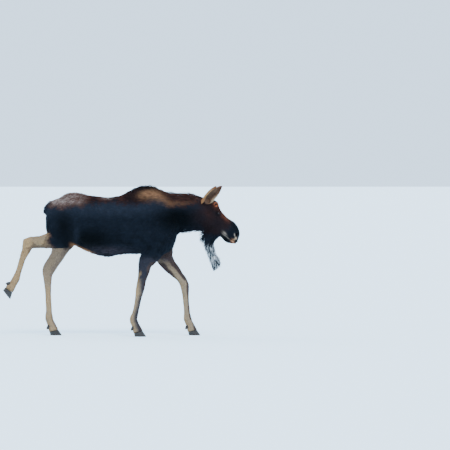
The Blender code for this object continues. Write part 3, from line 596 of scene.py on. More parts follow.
def skin_mesh():
    """The whole skin, with its head refined and sculpted, and the ears' roots run into the skull."""
    mesh = joined_flesh()
    co = vertices_of(mesh)
    co = melt(mesh, co, 1.0 - 0.65 * smooth(head_axes(co)[:, 1], 0.0, 0.10), passes=40)
    move_vertices(mesh, co - normals_of(mesh) * coat_at(co)[3][:, None])
    refine(mesh, near_head)
    co = vertices_of(mesh)
    melt(mesh, co, near_head(co), passes=4)
    refine(mesh, near_features)
    refine(mesh, near_eyes)
    co = vertices_of(mesh)
    melt(mesh, co, near_features(co), passes=5)
    co = sculpt_head(vertices_of(mesh), normals_of(mesh))
    melt(mesh, co, 0.5 * near_features(co), passes=1, steps=(0.5,))
    ears = [tube_mesh(name, own_axes(ear_surface(*ear))) for name, ear in EAR_SHAPES.items()]
    write_shape(shape_of(mesh, *ears), mesh)
    return mesh


class Owners:
    """Tells which piece of the construction model a point belongs to."""

    def __init__(self):
        places, faces, names = [], [], []
        for name in (*FLESH, *EARS):
            mesh = NODES[name].data
            found = triangles_of(mesh) + len(places)
            places += vertices_of(mesh).tolist()
            faces += found.tolist()
            names += [name] * len(found)
        self.tree = BVHTree.FromPolygons(places, faces)
        self.names = np.array(names)

    def of(self, points):
        return self.names[[self.tree.find_nearest(point)[2] for point in points]]


# ---- markings


def linear(shade):
    """An 8-bit screen colour as linear light."""
    value = np.array(shade, float) / 255
    return np.where(value < 0.04045, value / 12.92, ((value + 0.055) / 1.055) ** 2.4)


BLACK = linear((21, 27, 36))
# near black: the blackest hair, and painted shade in spots on the trunk and at the upper lip
DEEP_BLACK_AND_SHADE = linear((2, 6, 10))
# smoky grey hair, and a painted bluish sheen high on the sides
SMOKE_AND_SHEEN = linear((44, 49, 60))
BROWN = linear((70, 41, 35))
UMBER = linear((33, 20, 21))
GOLD = linear((170, 122, 86))
FROST = linear((176, 156, 146))
RUMP = linear((98, 66, 54))
HAZE = linear((74, 64, 70))
MAUVE = linear((152, 127, 110))
CREAM = linear((196, 172, 140))
RUST = linear((106, 58, 40))
TAN = linear((190, 152, 106))
GREY_TAN = linear((152, 130, 106))
PALE = linear((206, 176, 138))
LEG_BROWN = linear((74, 58, 54))
ORANGE = linear((176, 122, 80))
FACE = linear((31, 23, 26))
LIP = linear((160, 144, 128))
PINK = linear((196, 136, 98))
EAR_IN = linear((118, 88, 68))
EAR_BACK = linear((138, 97, 64))
ICE = linear((200, 202, 204))
# near black: the lids' dark rims, and painted shade in the nostrils and the mouth's seam
DARK_SKIN_AND_SHADE = linear((3, 3, 4))


def tint(colours, shade, amount):
    """Mixes a shade over the colours where amount says."""
    return colours + (np.asarray(shade) - colours) * np.clip(amount, 0, 1)[:, None]


class Paint:
    """Colours at points, in linear light, mixed shade over shade."""

    def __init__(self, shade, count):
        self.colours = np.tile(shade, (count, 1))

    def mix(self, shade, amount):
        self.colours = tint(self.colours, shade, amount)


def leg_places(points):
    """How far each point lies to the front and to the inside of the nearest leg's middle line."""
    own = own_axes(points)
    nearest = np.full(len(points), 9.0)
    front, inner = np.zeros(len(points)), np.zeros(len(points))
    for leg, line in LEG_LINES.items():
        centres = own_axes(line)
        inwards = -1 if leg.endswith("left") else 1
        for centre, run in zip(centres, unit(np.gradient(centres, axis=0))):
            offset = own - centre
            gap = np.linalg.norm(offset, axis=1)
            closer = gap < nearest
            nearest[closer] = gap[closer]
            front[closer] = (offset @ np.array((0, -run[2], run[1])))[closer]
            inner[closer] = inwards * offset[closer, 0]
    return front, inner


def beyond(own, place, way):
    """How far points lie past a plane through (forward, up) that faces `way`."""
    way = np.array(way) / math.hypot(*way)
    return (own[:, 1] - place[0]) * way[0] + (own[:, 2] - place[1]) * way[1]


# On the trunk, in order: shade, how much of it, and the spot's middle and radii, forward and up. The
# near-black spots are painted shade over the neck and shoulder, low on the flank and on the thigh.
TRUNK_SPOTS = (
    (DEEP_BLACK_AND_SHADE, 1.15, (0.68, 1.41), (0.33, 0.20)),
    (UMBER, 0.5, (0.92, 1.46), (0.12, 0.16)),
    (DEEP_BLACK_AND_SHADE, 1.10, (-0.36, 1.17), (0.36, 0.16)),
    (DEEP_BLACK_AND_SHADE, 0.85, (-0.68, 1.32), (0.14, 0.24)),
    (SMOKE_AND_SHEEN, 0.5, (-0.53, 1.20), (0.045, 0.17)),
)
# Rows of (forward, value): the brown back's lower edge, the golden arc's middle, its width and its strength,
# and the upper edge of the tan fold in front of the thigh.
BACK_EDGE = (
    (-0.86, 1.565),
    (-0.72, 1.545),
    (-0.42, 1.575),
    (-0.12, 1.612),
    (0.04, 1.580),
    (0.20, 1.585),
    (0.45, 1.640),
)
ARC_LINE = (
    (0.16, 1.672),
    (0.25, 1.696),
    (0.40, 1.692),
    (0.50, 1.648),
    (0.56, 1.604),
    (0.62, 1.582),
    (0.74, 1.588),
    (0.85, 1.606),
)
ARC_WIDTH = ((0.16, 0.034), (0.30, 0.056), (0.42, 0.056), (0.54, 0.042), (0.62, 0.026), (0.85, 0.018))
ARC_STRENGTH = ((0.16, 0.12), (0.28, 0.90), (0.42, 0.92), (0.52, 0.60), (0.62, 0.34), (0.85, 0.24))
FOLD_EDGE = ((-0.62, 1.110), (-0.50, 1.055), (-0.34, 0.995))


def body_markings(own, rough, fine, fleck):
    """Near black, with a brown back, a grizzled rump, a golden arc on the hump and a brown mane, with painted
    shade on the neck, flank and thigh and a painted bluish sheen high on the sides.
    """
    _, forward, up = own.T
    flat = own[:, 1:]
    edge = 0.018 * rough + 0.014 * fine + 0.020 * fleck
    coat = Paint(BLACK, len(own))
    # smoky grizzle at random, and a painted bluish sheen high on the sides under the brown back
    coat.mix(SMOKE_AND_SHEEN, 0.35 * smooth(fleck + fine + rough, -0.2, 1.8) + 0.75 * smooth(up, 1.38, 1.55))
    coat.mix(DEEP_BLACK_AND_SHADE, 0.60 * smooth(rough, -0.2, 0.7) * smooth(up, 1.35, 1.10))
    for shade, amount, middle, radii in TRUNK_SPOTS:
        coat.mix(shade, amount * spot(flat, middle, radii))
    coat.mix(HAZE, spot(flat, (-0.16, 1.035), (0.30, 0.055)) * (0.50 + 0.40 * fleck + 0.2 * fine))
    # the brown of the back, from the rump to the hump
    line = read(BACK_EDGE, forward)
    back = smooth(up + edge, line - 0.040, line + 0.035)
    back = back * smooth(forward + edge, -0.91, -0.83) * smooth(forward, 0.55, 0.30)
    coat.mix(UMBER, back)
    browner = 0.90 - 0.75 * hump(forward, 0.14, 0.10)
    coat.mix(BROWN, back * smooth(rough + fine + fleck, -0.8, 0.9) * browner)
    # grizzle over the rump and a touch of it behind the hump
    rump = smooth(forward + edge, -0.34, -0.56) * smooth(forward, -0.89, -0.80) * back
    coat.mix(RUMP, 0.85 * rump)
    mottle = 0.8 * fleck + 0.8 * waves(own, 0.020, 12, 24) + 0.45 * waves(own, 0.075, 13, 16) + 0.25 * rough
    higher = smooth(up, line - 0.01, line + 0.06)
    coat.mix(FROST, rump * smooth(mottle, -0.60, 0.95) * (0.20 + 0.52 * higher))
    coat.mix(FROST, 0.80 * back * spot(flat, (-0.765, 1.620), (0.11, 0.050)) * smooth(mottle, -0.9, 0.6))
    coat.mix(FROST, 0.60 * back * spot(flat, (-0.16, 1.650), (0.09, 0.022)) * smooth(mottle, -0.6, 0.8))
    # the hump's golden arc and the brown mane above it
    arc_at = read(ARC_LINE, forward)
    arc = hump(up + 0.6 * edge, arc_at, read(ARC_WIDTH, forward)) * plateau(forward, 0.06, 0.28, 0.74, 0.95)
    over = smooth(up + edge, arc_at - 0.065, arc_at + 0.015) * plateau(forward, 0.10, 0.28, 0.96, 1.08)
    coat.mix(UMBER, over * 0.95)
    coat.mix(BROWN, over * 0.92 * smooth(fine + fleck, -1.0, 0.6) * smooth(forward, 0.35, 0.60))
    coat.mix(GOLD, arc * read(ARC_STRENGTH, forward) * (0.76 + 0.42 * fleck + 0.12 * fine))
    flecked = smooth(fleck, 0.3, 1.2) * smooth(up, arc_at - 0.01, arc_at + 0.03) * over
    coat.mix(GOLD, 0.22 * flecked * smooth(forward, 0.45, 0.60))
    coat.mix(DEEP_BLACK_AND_SHADE, 0.80 * over * smooth(up + 0.4 * edge, 1.728, 1.768) * smooth(forward, 0.60, 0.45))
    # the tan fold in front of the thigh
    fold_at = read(FOLD_EDGE, forward)
    fold = smooth(up, fold_at + 0.045, fold_at + 0.005)
    coat.mix(ORANGE, 0.9 * fold * plateau(forward, -0.64, -0.54, -0.40, -0.28))
    return coat


def hind_leg_markings(own, rough, fine, fleck, front):
    """Pale tan hind legs: their paint, and how much of it."""
    side, forward, up = own.T
    rag = 0.018 * rough + 0.014 * fine + 0.014 * fleck
    right = smooth(beyond(own, (-0.850, 1.158), (-0.934, -0.357)) + 1.3 * rag, -0.040, 0.034)
    right = right * smooth(side, -0.05, -0.09) * smooth(up, 1.32, 1.26) * smooth(forward, -0.74, -0.80)
    left = smooth(beyond(own, (-0.740, 1.085), (-0.35, -0.94)) + 1.3 * rag, -0.050, 0.045)
    left = left * smooth(side, 0.03, 0.07) * smooth(forward, -0.40, -0.55) * smooth(up, 1.20, 1.14)
    pale = Paint(GREY_TAN, len(own))
    pale.mix(TAN, 0.40 + 0.25 * rough + 0.30 * fleck + 0.15 * fine)
    pale.mix(TAN, 0.7 * (side < 0) * smooth(beyond(own, (-1.06, 1.14), (-1, -0.2)), -0.02, 0.06))
    pale.mix(LEG_BROWN, (0.60 - 0.15 * fleck) * smooth(front, 0.018, 0.042))
    pale.mix(LEG_BROWN, 0.5 * smooth(front, 0.045, 0.085) * smooth(up, 0.75, 0.90))
    pale.mix(LEG_BROWN, 0.22 * (side < 0) * smooth(up, 1.10, 1.00))
    pale.mix(MAUVE, 0.50 * (side > 0) * smooth(up, 0.55, 0.75))
    pale.mix(BROWN, 0.75 * smooth(right, 0.99, 0.55) * (side < 0))
    pale.mix(BROWN, 0.60 * smooth(left, 0.99, 0.50) * (side > 0))
    return pale, np.maximum(right, left)


def foreleg_markings(own, rough, fine, fleck, front, inner):
    """Forelegs that are dark outside and in front, and pale inside: their paint, and how much of it."""
    side, forward, up = own.T
    ragged = up + 0.018 * rough + 0.014 * fine + 0.014 * fleck
    near = side < 0
    amount = np.where(near, smooth(ragged, 0.99, 0.90), smooth(ragged, 1.10, 1.02))
    amount = amount * smooth(forward, -0.2, 0.0) * smooth(np.abs(side), 0.04, 0.07)
    stripe = smooth(inner, -0.010, 0.035) * smooth(ragged, 1.02, 0.86)
    stripe = stripe * smooth(np.abs(front + 0.004), 0.040, 0.012)
    low = smooth(ragged, 0.74, 0.56)
    leg = Paint(SMOKE_AND_SHEEN, len(own))
    leg.mix(LEG_BROWN, np.where(near, 0.25, 0.90) + 0.15 * fleck)
    leg.mix(GREY_TAN, (0.55 + 0.18 * fleck) * stripe)
    leg.mix(BROWN, 0.5 * stripe * smooth(ragged, 0.90, 0.99))
    leg.mix(HAZE, 0.60 * ~near * smooth(ragged, 0.86, 0.94))
    leg.mix(PALE, 0.38 * stripe * smooth(ragged, 0.88, 0.74))
    leg.mix(GREY_TAN, (0.85 + 0.10 * fleck) * low * smooth(front, 0.030, -0.020))
    leg.mix(TAN, 0.45 * low * smooth(front, 0.0, -0.035))
    leg.mix(TAN, 0.50 * near * smooth(ragged, 0.80, 0.74) * smooth(front, -0.022, -0.040))
    leg.mix(LEG_BROWN, 0.85 * smooth(front, 0.020, 0.042))
    return leg, amount


def head_markings(own, head, rough, fine, fleck):
    """A dark brown face, a rusty bridge, a black muzzle and a pale lip: their paint, and how much of it."""
    side, along, rise = np.abs(head[:, 0]), head[:, 1], head[:, 2]
    flat = head[:, 1:]
    over_bell = np.maximum(smooth(own[:, 2] + 0.02 * fine, 1.18, 1.26), smooth(own[:, 1], 1.15, 1.20))
    is_head = smooth(own[:, 1] + 0.03 * rough + 0.02 * fleck, 0.84, 1.06) * over_bell
    face = Paint(FACE, len(own))
    face.mix(UMBER, smooth(rough + fleck, -0.6, 0.8) * 0.6)
    face.mix(BROWN, 0.45 * spot(flat, (0.10, -0.10), (0.12, 0.07)) * (0.8 + 0.4 * fleck))
    bridge = smooth(rise + 0.014 * fine, -0.020, 0.026) * plateau(along, 0.13, 0.22, 0.30, 0.42)
    face.mix(BROWN, 0.75 * bridge)
    face.mix(RUST, (0.70 + 0.25 * fleck) * bridge * smooth(side + 0.008 * fleck, 0.076, 0.044))
    face.mix(BROWN, 0.6 * smooth(rise, 0.0, 0.05) * smooth(along, 0.14, 0.06))
    about_burr = spot(flat, (0.125, 0.045), (0.060, 0.045)) * smooth(side, 0.03, 0.06)
    face.mix(RUST, about_burr * (0.50 + 0.35 * fleck))
    folded = np.stack([side, along, rise], axis=1)
    face.mix(DEEP_BLACK_AND_SHADE, 0.85 * spot(folded, EYE - (0, 0.004, 0.004), (0.05, 0.044, 0.034)))
    ragged = along + 0.02 * fine
    face.mix(BLACK, 0.92 * smooth(ragged, 0.39, 0.48))
    face.mix(DEEP_BLACK_AND_SHADE, 0.55 * smooth(ragged, 0.40, 0.50))
    face.mix(DEEP_BLACK_AND_SHADE, 0.60 * smooth(rise, 0.0, 0.04) * smooth(ragged, 0.38, 0.46))
    # a dark chin, a pale corner to the mouth, and a pink lower lip
    face.mix(DEEP_BLACK_AND_SHADE, 0.85 * smooth(rise, -0.108, -0.128) * smooth(along, 0.40, 0.45))
    face.mix(LIP, (1.05 + 0.35 * fleck) * spot(flat, (0.448, -0.103), (0.036, 0.021)))
    face.mix(LIP, (0.50 + 0.25 * fleck) * spot(flat, (0.500, -0.104), (0.045, 0.011)))
    face.mix(PINK, (0.80 + 0.30 * fleck) * spot(flat, (0.580, -0.088), (0.030, 0.023)))
    # painted highlight: a pale streak on the fold behind the nostril and a pale spot on the upper lip;
    # painted shadow: a dark wedge at the upper lip's front edge
    nostril_fold_highlight = hump(rise + 0.004 * fine, -0.009 - 0.34 * (along - 0.506), 0.008)
    nostril_fold_highlight = nostril_fold_highlight * plateau(along, 0.512, 0.540, 0.590, 0.605) * smooth(side, 0.025, 0.045)
    face.mix(LIP, (0.66 + 0.35 * fleck) * nostril_fold_highlight)
    lit = spot(flat, (0.578, -0.045), (0.014, 0.026)) * smooth(side, 0.02, 0.04)
    face.mix(PALE, (0.45 + 0.30 * fleck) * lit)
    face.mix(DEEP_BLACK_AND_SHADE, 0.9 * spot(flat, (0.602, -0.058), (0.013, 0.015)))
    return face, is_head


def markings(points):
    """The coat's paint at world points."""
    own = own_axes(points)
    noise = waves(points, 0.16, 1), waves(points, 0.045, 2), waves(points, 0.013, 3, 14)
    front, inner = leg_places(points)
    coat = body_markings(own, *noise)
    for part, amount in (
        hind_leg_markings(own, *noise, front),
        foreleg_markings(own, *noise, front, inner),
        head_markings(own, head_axes(points), *noise),
    ):
        coat.mix(part.colours, amount)
    # the bell, caked with frost
    bell = plateau(own[:, 1], 0.94, 0.98, 1.20, 1.23) * smooth(own[:, 2], 1.13, 1.05)
    drawn = points * (1, 1, 0.35)
    flecks = smooth(waves(drawn, 0.020, 7, 28) + 0.8 * waves(drawn, 0.011, 8, 28), -0.02, 0.35)
    coat.mix(DEEP_BLACK_AND_SHADE, 0.8 * bell)
    coat.mix(ICE, bell * (0.04 + (0.70 + 0.25 * smooth(own[:, 2], 1.10, 0.98)) * flecks))
    return coat


def ear_colours(points, name, owner_names):
    """Which points are this ear's, and their colours."""
    root, tip, opening, width, sway = EAR_SHAPES[name]
    own = own_axes(points)
    start, length, along, facing, across = ear_axes(root, tip, opening)
    share = (own - start) @ along / length
    from_line = own - start - np.outer(share * length, along)
    in_cup = (share > 0.07) & (share < 0.6) & (np.linalg.norm(from_line, axis=1) < 0.040)
    mine = (owner_names == name) | in_cup
    share, ahead = share[mine], (own[mine] - start) @ across
    radius, _, thick, out, bend = ear_section(share, width, sway)
    reach = np.hypot(from_line[mine] @ facing - out, ahead - bend)
    inner = smooth(reach, radius - 0.35 * thick, radius - 0.65 * thick)
    ear = Paint(EAR_BACK, mine.sum())
    ear.mix(EAR_IN, inner)
    grain = waves(points[mine], 0.010, 41, 20)
    ear.mix(LEG_BROWN, inner * (0.34 + 0.45 * grain) * smooth(share, 0.80, 0.40))
    rim = smooth(np.abs(ahead / width), 0.036, 0.047) * smooth(share, 0.86, 0.70)
    ear.mix(CREAM, 0.60 * rim * (ahead > 0))
    ear.mix(TAN, 0.60 * rim * (ahead < 0))
    ear.mix(RUST, 0.75 * smooth(share, 0.70, 0.98))
    band = hump(ahead / width, 0.026 - 0.014 * smooth(share, 0.5, 1.0), 0.013) * smooth(share, 0.22, 0.45)
    ear.mix(UMBER, 0.45 * band * inner)
    ear.mix(ORANGE, 0.30 * smooth(share, 0.28, 0.10) * (1 - inner))
    return mine, ear.colours


def skin_colours(points, owner_names):
    """The markings, with the ears."""
    colours = markings(points).colours
    for name in EAR_SHAPES:
        mine, shades = ear_colours(points, name, owner_names)
        colours[mine] = shades
    return colours


def bare_skin_and_hollow_shade(points, colours):
    """Painted shade in the nostrils and along the mouth's seam, over their own dark skin, and the dark rims
    of the lids.
    """
    own, _ = folded_head(points)
    side, along, up = own.T
    nostril = smooth(nostril_reach(own), 1.10, 0.85) * (along > 0.5) * smooth(side, 0.030, 0.045)
    mouth = hump(up - mouth_height(along), 0, 0.0042) * smooth(along, 0.39, 0.42)
    u, v, w = eye_places(own)
    lids = 0.9 * hump(eye_opening(u, v), 1.0, 0.45) * (np.hypot(u, v) < 0.03) * (w > -0.01)
    for amount in (nostril, mouth, lids):
        colours = tint(colours, DARK_SKIN_AND_SHADE, amount)
    return colours


def write_colours(mesh, colours):
    layer = mesh.color_attributes.new("markings", "FLOAT_COLOR", "POINT")
    rgba = np.concatenate([colours, np.ones((len(colours), 1))], axis=1).astype(np.float32)
    layer.data.foreach_set("color", rgba.ravel())


# ---- materials


def set_inputs(made, **values):
    for name, value in values.items():
        made.inputs[name.replace("_", " ")].default_value = value
    return made


def node(tree, kind, **values):
    return set_inputs(tree.nodes.new("ShaderNode" + kind), **values)


def join(tree, *links):
    """Each link is a node, its output, the next node and its input."""
    for start, out, end, into in links:
        tree.links.new(start.outputs[out], end.inputs[into])


def shader_material(name, **values):
    made = bpy.data.materials.new(name)
    made.use_nodes = True
    return made, made.node_tree, set_inputs(made.node_tree.nodes["Principled BSDF"], **values)


def marked_material(name, roughness, specular, scale, low, high):
    """Takes its colour from the markings written on the mesh, times a soft noise between two values."""
    made, tree, shader = shader_material(name, Roughness=roughness, Specular_IOR_Level=specular)
    tone = node(tree, "Attribute")
    tone.attribute_name = "markings"
    places = node(tree, "TexCoord")
    noise = node(tree, "TexNoise", Scale=scale, Detail=4)
    span = node(tree, "MapRange", From_Min=0.3, From_Max=0.7, To_Min=low, To_Max=high)
    times = node(tree, "VectorMath")
    times.operation = "SCALE"
    join(tree, (places, "Object", noise, "Vector"), (noise, "Fac", span, "Value"))
    join(tree, (tone, "Color", times, 0), (span, "Result", times, "Scale"))
    join(tree, (times, "Vector", shader, "Base Color"))
    return made, tree, shader


def skin_material():
    """The skin has a grain of fine hair."""
    made, tree, shader = marked_material("skin_coat", 0.8, 0.08, 70, 0.82, 1.18)
    places = node(tree, "TexCoord")
    grain = node(tree, "TexNoise", Scale=260, Detail=3)
    raised = node(tree, "Bump", Strength=0.6, Distance=0.0012)
    join(tree, (places, "Object", grain, "Vector"), (grain, "Fac", raised, "Height"))
    join(tree, (raised, "Normal", shader, "Normal"))
    return made


def horn_material():
    """Dark horn with faint level growth rings."""
    made, tree, shader = shader_material("hoof_horn", Roughness=0.46, Specular_IOR_Level=0.28)
    places = node(tree, "TexCoord")
    rings = node(tree, "TexWave", Scale=14, Distortion=5)
    rings.wave_type = "BANDS"
    rings.bands_direction = "Z"
    ramp = node(tree, "ValToRGB")
    ramp.color_ramp.elements[0].color = (0.017, 0.014, 0.012, 1)
    ramp.color_ramp.elements[1].color = (0.030, 0.024, 0.020, 1)
    join(tree, (places, "Object", rings, "Vector"), (rings, "Fac", ramp, "Fac"))
    join(tree, (ramp, "Color", shader, "Base Color"))
    return made


def eye_material():
    """The eye's colours under a wet surface."""
    made, _, shader = marked_material("eye_wet", 0.06, 0.22, 400, 0.7, 1.3)
    set_inputs(shader, Coat_Weight=0.22, Coat_Roughness=0.03)
    return made


# ---- tufts

DENSITY = 33000.0  # tufts on a square metre where the hair is LENGTH long
LENGTH = 0.046
THINNING = 0.78  # the power by which longer hair stands thinner
MOST = 86000.0  # tufts on a square metre at most
WIDTH = (0.0013, 0.037)  # the least, and how much a tuft widens with its length
WAVY, SCATTERED = 0.22, 0.16  # how far the hair turns aside in waves, and from tuft to tuft
LEAN = 0.26  # how far a tuft leans into its lock at most, as a share of its length
UNEVEN = 0.16  # how much the shades of tufts differ
LONG_HAIR = 0.068  # from here on, a tuft has two rings
RINGS_SHORT = ((0.38, 1.0),)  # each ring's share of the length, and its share of the width
RINGS_LONG = ((0.26, 1.0), (0.62, 0.80))
SUNK = 0.0015  # how deep a tuft's root lies in the skin
PATCH = 0.003  # how wide a tuft is on the map


def bare(points, normals):
    """Where no hair grows: in the lids, the nostrils and the mouth, on the burrs and under the legs' ends."""
    own, _ = folded_head(points)
    side, along, up = own.T
    u, v, w = eye_places(own)
    lids = (eye_opening(u, v) < 1.25) & (np.hypot(u, v) < 0.03) & (w > -0.01)
    nostrils = (nostril_reach(own) < 1.12) & (along > 0.5) & (side > 0.030)
    mouth = (np.abs(up - mouth_height(along)) < 0.0038) & (along > 0.40)
    burrs = (np.hypot(along - PEDICLE[1], up - PEDICLE[2]) < 0.74 * PEDICLE_RADIUS) & (side > 0.04)
    ends = np.zeros(len(points), bool)
    for line in LEG_LINES.values():
        run = unit(line[-1] - line[-3])
        ends |= (np.linalg.norm(points - line[-1], axis=1) < 0.09) & (normals @ run > 0.72)
    return lids | nostrils | mouth | burrs | ends


def roots(mesh, rng):
    """Where the tufts stand: points and normals."""
    co, faces = vertices_of(mesh), triangles_of(mesh)
    a, b, c = co[faces].transpose(1, 0, 2)
    cross = np.cross(b - a, c - a)
    middles = (a + b + c) / 3
    density = np.minimum(DENSITY * (LENGTH / coat_at(middles)[1]) ** THINNING, MOST)
    density[bare(middles, unit(cross))] = 0
    total = np.cumsum(np.linalg.norm(cross, axis=1) / 2 * density)
    count = int(total[-1])
    picks = np.searchsorted(total, np.arange(count) + rng.random(count)).clip(0, len(faces) - 1)
    s, t = rng.random(count), rng.random(count)
    flip = s + t > 1
    s[flip], t[flip] = 1 - s[flip], 1 - t[flip]
    shares = np.stack([1 - s - t, s, t], axis=1)[:, :, None]
    points = (co[faces[picks]] * shares).sum(1)
    normals = unit((normals_of(mesh)[faces[picks]] * shares).sum(1))
    keep = ~bare(points, normals)
    return points[keep], normals[keep]


def clump_shift(points, rng, every=16):
    """From each root to the middle of the lock it belongs to."""
    chosen = np.sort(rng.permutation(len(points))[: len(points) // every])
    tree = KDTree(len(chosen))
    for i, index in enumerate(chosen):
        tree.insert(points[index], i)
    tree.balance()
    nearest = np.array([tree.find(point)[1] for point in points])
    return points[chosen[nearest]] - points


def spindle_faces(rings):
    """The triangles of a spindle with this many rings of left, right and top, facing out."""
    faces = [(0, 2, 1), (0, 3, 2), (0, 1, 3)]
    for low in range(1, 3 * rings - 2, 3):
        for i, j in ((0, 1), (1, 2), (2, 0)):
            faces += [(low + i, low + j, low + j + 3), (low + i, low + j + 3, low + i + 3)]
    last = 3 * rings - 2
    tip = last + 3
    faces += [(last, last + 1, tip), (last + 1, last + 2, tip), (last + 2, last, tip)]
    return np.array(faces)


def tuft_pieces(tufts, rings, rng):
    """Vertices, faces, colours and map places of bent spindles, each closed to a point at both ends."""
    points, normals, ways, lengths, widths, lifts, pulls, shades, uvs = tufts
    n, per = len(points), 3 * len(rings) + 2
    across = unit(np.cross(normals, ways))
    co, tones, places = np.empty((n, per, 3)), np.empty((n, per, 3)), np.empty((n, per, 2))
    length, width = lengths[:, None], widths[:, None]
    sway = rng.normal(0, 0.06, n)[:, None] * length
    rise, flat = np.sin(lifts)[:, None], np.cos(lifts)[:, None]

    def centre(share):
        """The middle line: it leaves the skin at about twice the lift and then lies down."""
        run, up = flat * length * share, rise * length * (1.9 * share - 0.9 * share**2)
        return points + ways * run + normals * up + across * sway * share**2 + pulls * share**1.5

    co[:, 0] = points - normals * (0.10 * length * rise + SUNK) - ways * 0.02 * length
    tones[:, 0] = shades * 0.55
    places[:, 0] = (0, 0.5)
    for ring, (share, swell) in enumerate(rings):
        middle, half = centre(share), width * swell / 2
        first = 1 + 3 * ring
        co[:, first] = middle - across * half
        co[:, first + 1] = middle + across * half
        co[:, first + 2] = middle + normals * half * 0.8
        tones[:, first : first + 3] = (shades * (0.82 + 0.25 * share))[:, None, :]
        places[:, first : first + 3] = ((share, 0.0), (share, 1.0), (share, 0.45))
    co[:, -1] = centre(1.0)
    tones[:, -1] = shades * 1.12
    places[:, -1] = (1.0, 0.5)
    faces = np.arange(n)[:, None, None] * per + spindle_faces(len(rings))[None]
    places = uvs[:, None, :] + (places - (0.5, 0.5)) * PATCH
    return co.reshape(-1, 3), faces.reshape(-1, 3), tones.reshape(-1, 3), places.reshape(-1, 2)


def mesh_from(name, parts):
    """One triangle mesh of parts that are vertices, faces, markings and map places."""
    starts = np.cumsum([0] + [len(part[0]) for part in parts])
    parts = [(co, faces + start, *rest) for (co, faces, *rest), start in zip(parts, starts)]
    co, faces, tones, places = (np.concatenate(part) for part in zip(*parts))
    mesh = bpy.data.meshes.new(name)
    mesh.vertices.add(len(co))
    mesh.vertices.foreach_set("co", co.astype(np.float32).ravel())
    mesh.loops.add(3 * len(faces))
    mesh.loops.foreach_set("vertex_index", faces.astype(np.int32).ravel())
    mesh.polygons.add(len(faces))
    mesh.polygons.foreach_set("loop_start", np.arange(0, 3 * len(faces), 3, dtype=np.int32))
    mesh.update(calc_edges=True)
    write_colours(mesh, tones)
    layer = mesh.uv_layers.new(name="OFBake")
    layer.uv.foreach_set("vector", places[faces.ravel()].astype(np.float32).ravel())
    return mesh


def unwrapped(points, group):
    """A piece's own unwrap: how far along its run, and the turn round it, both from 0 to 1."""
    own, head = own_axes(points), head_axes(points)
    if group in LEG_LINES:
        line = own_axes(LEG_LINES[group])
        near = np.linalg.norm(own[:, None, :] - line[None], axis=2).argmin(1)
        way = unit(np.gradient(line, axis=0))[near]
        offset = own - line[near]
        first = run_lengths(line)[near] + (offset * way).sum(1)
        turn = np.arctan2(offset[:, 0], offset[:, 2] * way[:, 1] - offset[:, 1] * way[:, 2])
    elif group.startswith("head"):
        first, turn = head[:, 1], np.arctan2(head[:, 2] + 0.08, np.abs(head[:, 0]))
    elif group == "lower_jaw":
        first, turn = head[:, 1], np.arctan2(head[:, 0], -0.10 - head[:, 2])
    elif group.startswith("ear"):
        first, turn = own[:, 2], own[:, 1] + own[:, 0]
    elif group in ("bell", "tail"):
        first, turn = own[:, 2], np.arctan2(own[:, 0], own[:, 1] - own[:, 1].mean())
    else:
        first, turn = own[:, 1], np.arctan2(own[:, 2] - 1.35, np.abs(own[:, 0]))
    both = np.stack([first, turn], axis=1)
    low, high = both.min(0), both.max(0)
    return 0.004 + 0.992 * (both - low) / np.maximum(high - low, 1e-9)


def group_of(name, side, forward):
    """The coat's piece for points of a node: the larger nodes are shared out."""
    half = np.where(side > 0, "left", "right")
    if name == "trunk":
        part = np.where(forward > 0.25, "front_", np.where(forward > -0.35, "middle_", "rear_"))
        return np.char.add(np.char.add("trunk_", part), half)
    if name in ("neck", "head"):
        return np.char.add(name + "_", half)
    leg = [leg for leg in LEGS if name.startswith(leg)]
    return np.full(len(side), leg[0] if leg else name)


def along_skin(vectors, normals):
    """The vectors without what stands out of the skin."""
    return vectors - normals * (vectors * normals).sum(1)[:, None]


def combed(points, normals, own, rng):
    """The hair's way, length, lift and pull into locks at each root."""
    ways, lengths, lifts, _ = coat_at(points)
    across = np.cross(normals, ways)
    flow = ways + WAVY * across * waves(points, 0.11, 21)[:, None]
    flow = unit(along_skin(flow + SCATTERED * across * rng.normal(size=len(points))[:, None], normals))
    lengths = lengths * rng.uniform(0.70, 1.12, len(points)) * (1 + 0.14 * waves(points, 0.09, 22))
    lifts = lifts * rng.uniform(0.6, 1.35, len(points))
    pulls = along_skin(clump_shift(points, rng) * 0.6, normals)
    far = np.linalg.norm(pulls, axis=1)
    pulls *= np.minimum(1, LEAN * lengths / np.maximum(far, 1e-6))[:, None]
    # hanging locks at the throat and under the belly
    throat = smooth(spot(own, (0, 0.935, 1.245), (0.11, 0.110, 0.095)), 0.25, 0.75)
    pulls += (clump_shift(points, rng, every=50) * 0.95 - pulls) * throat[:, None]
    belly = smooth(normals[:, 2], -0.35, -0.75) * plateau(own[:, 2], 0.90, 0.93, 1.02, 1.06)
    belly = belly * plateau(own[:, 1], -0.45, -0.30, 0.45, 0.60)
    pulls += (clump_shift(points, rng, every=60) * 0.85 - pulls) * belly[:, None]
    return flow, lengths, lifts, pulls, 1 + 0.22 * belly * waves(points, 0.07, 24, 12)


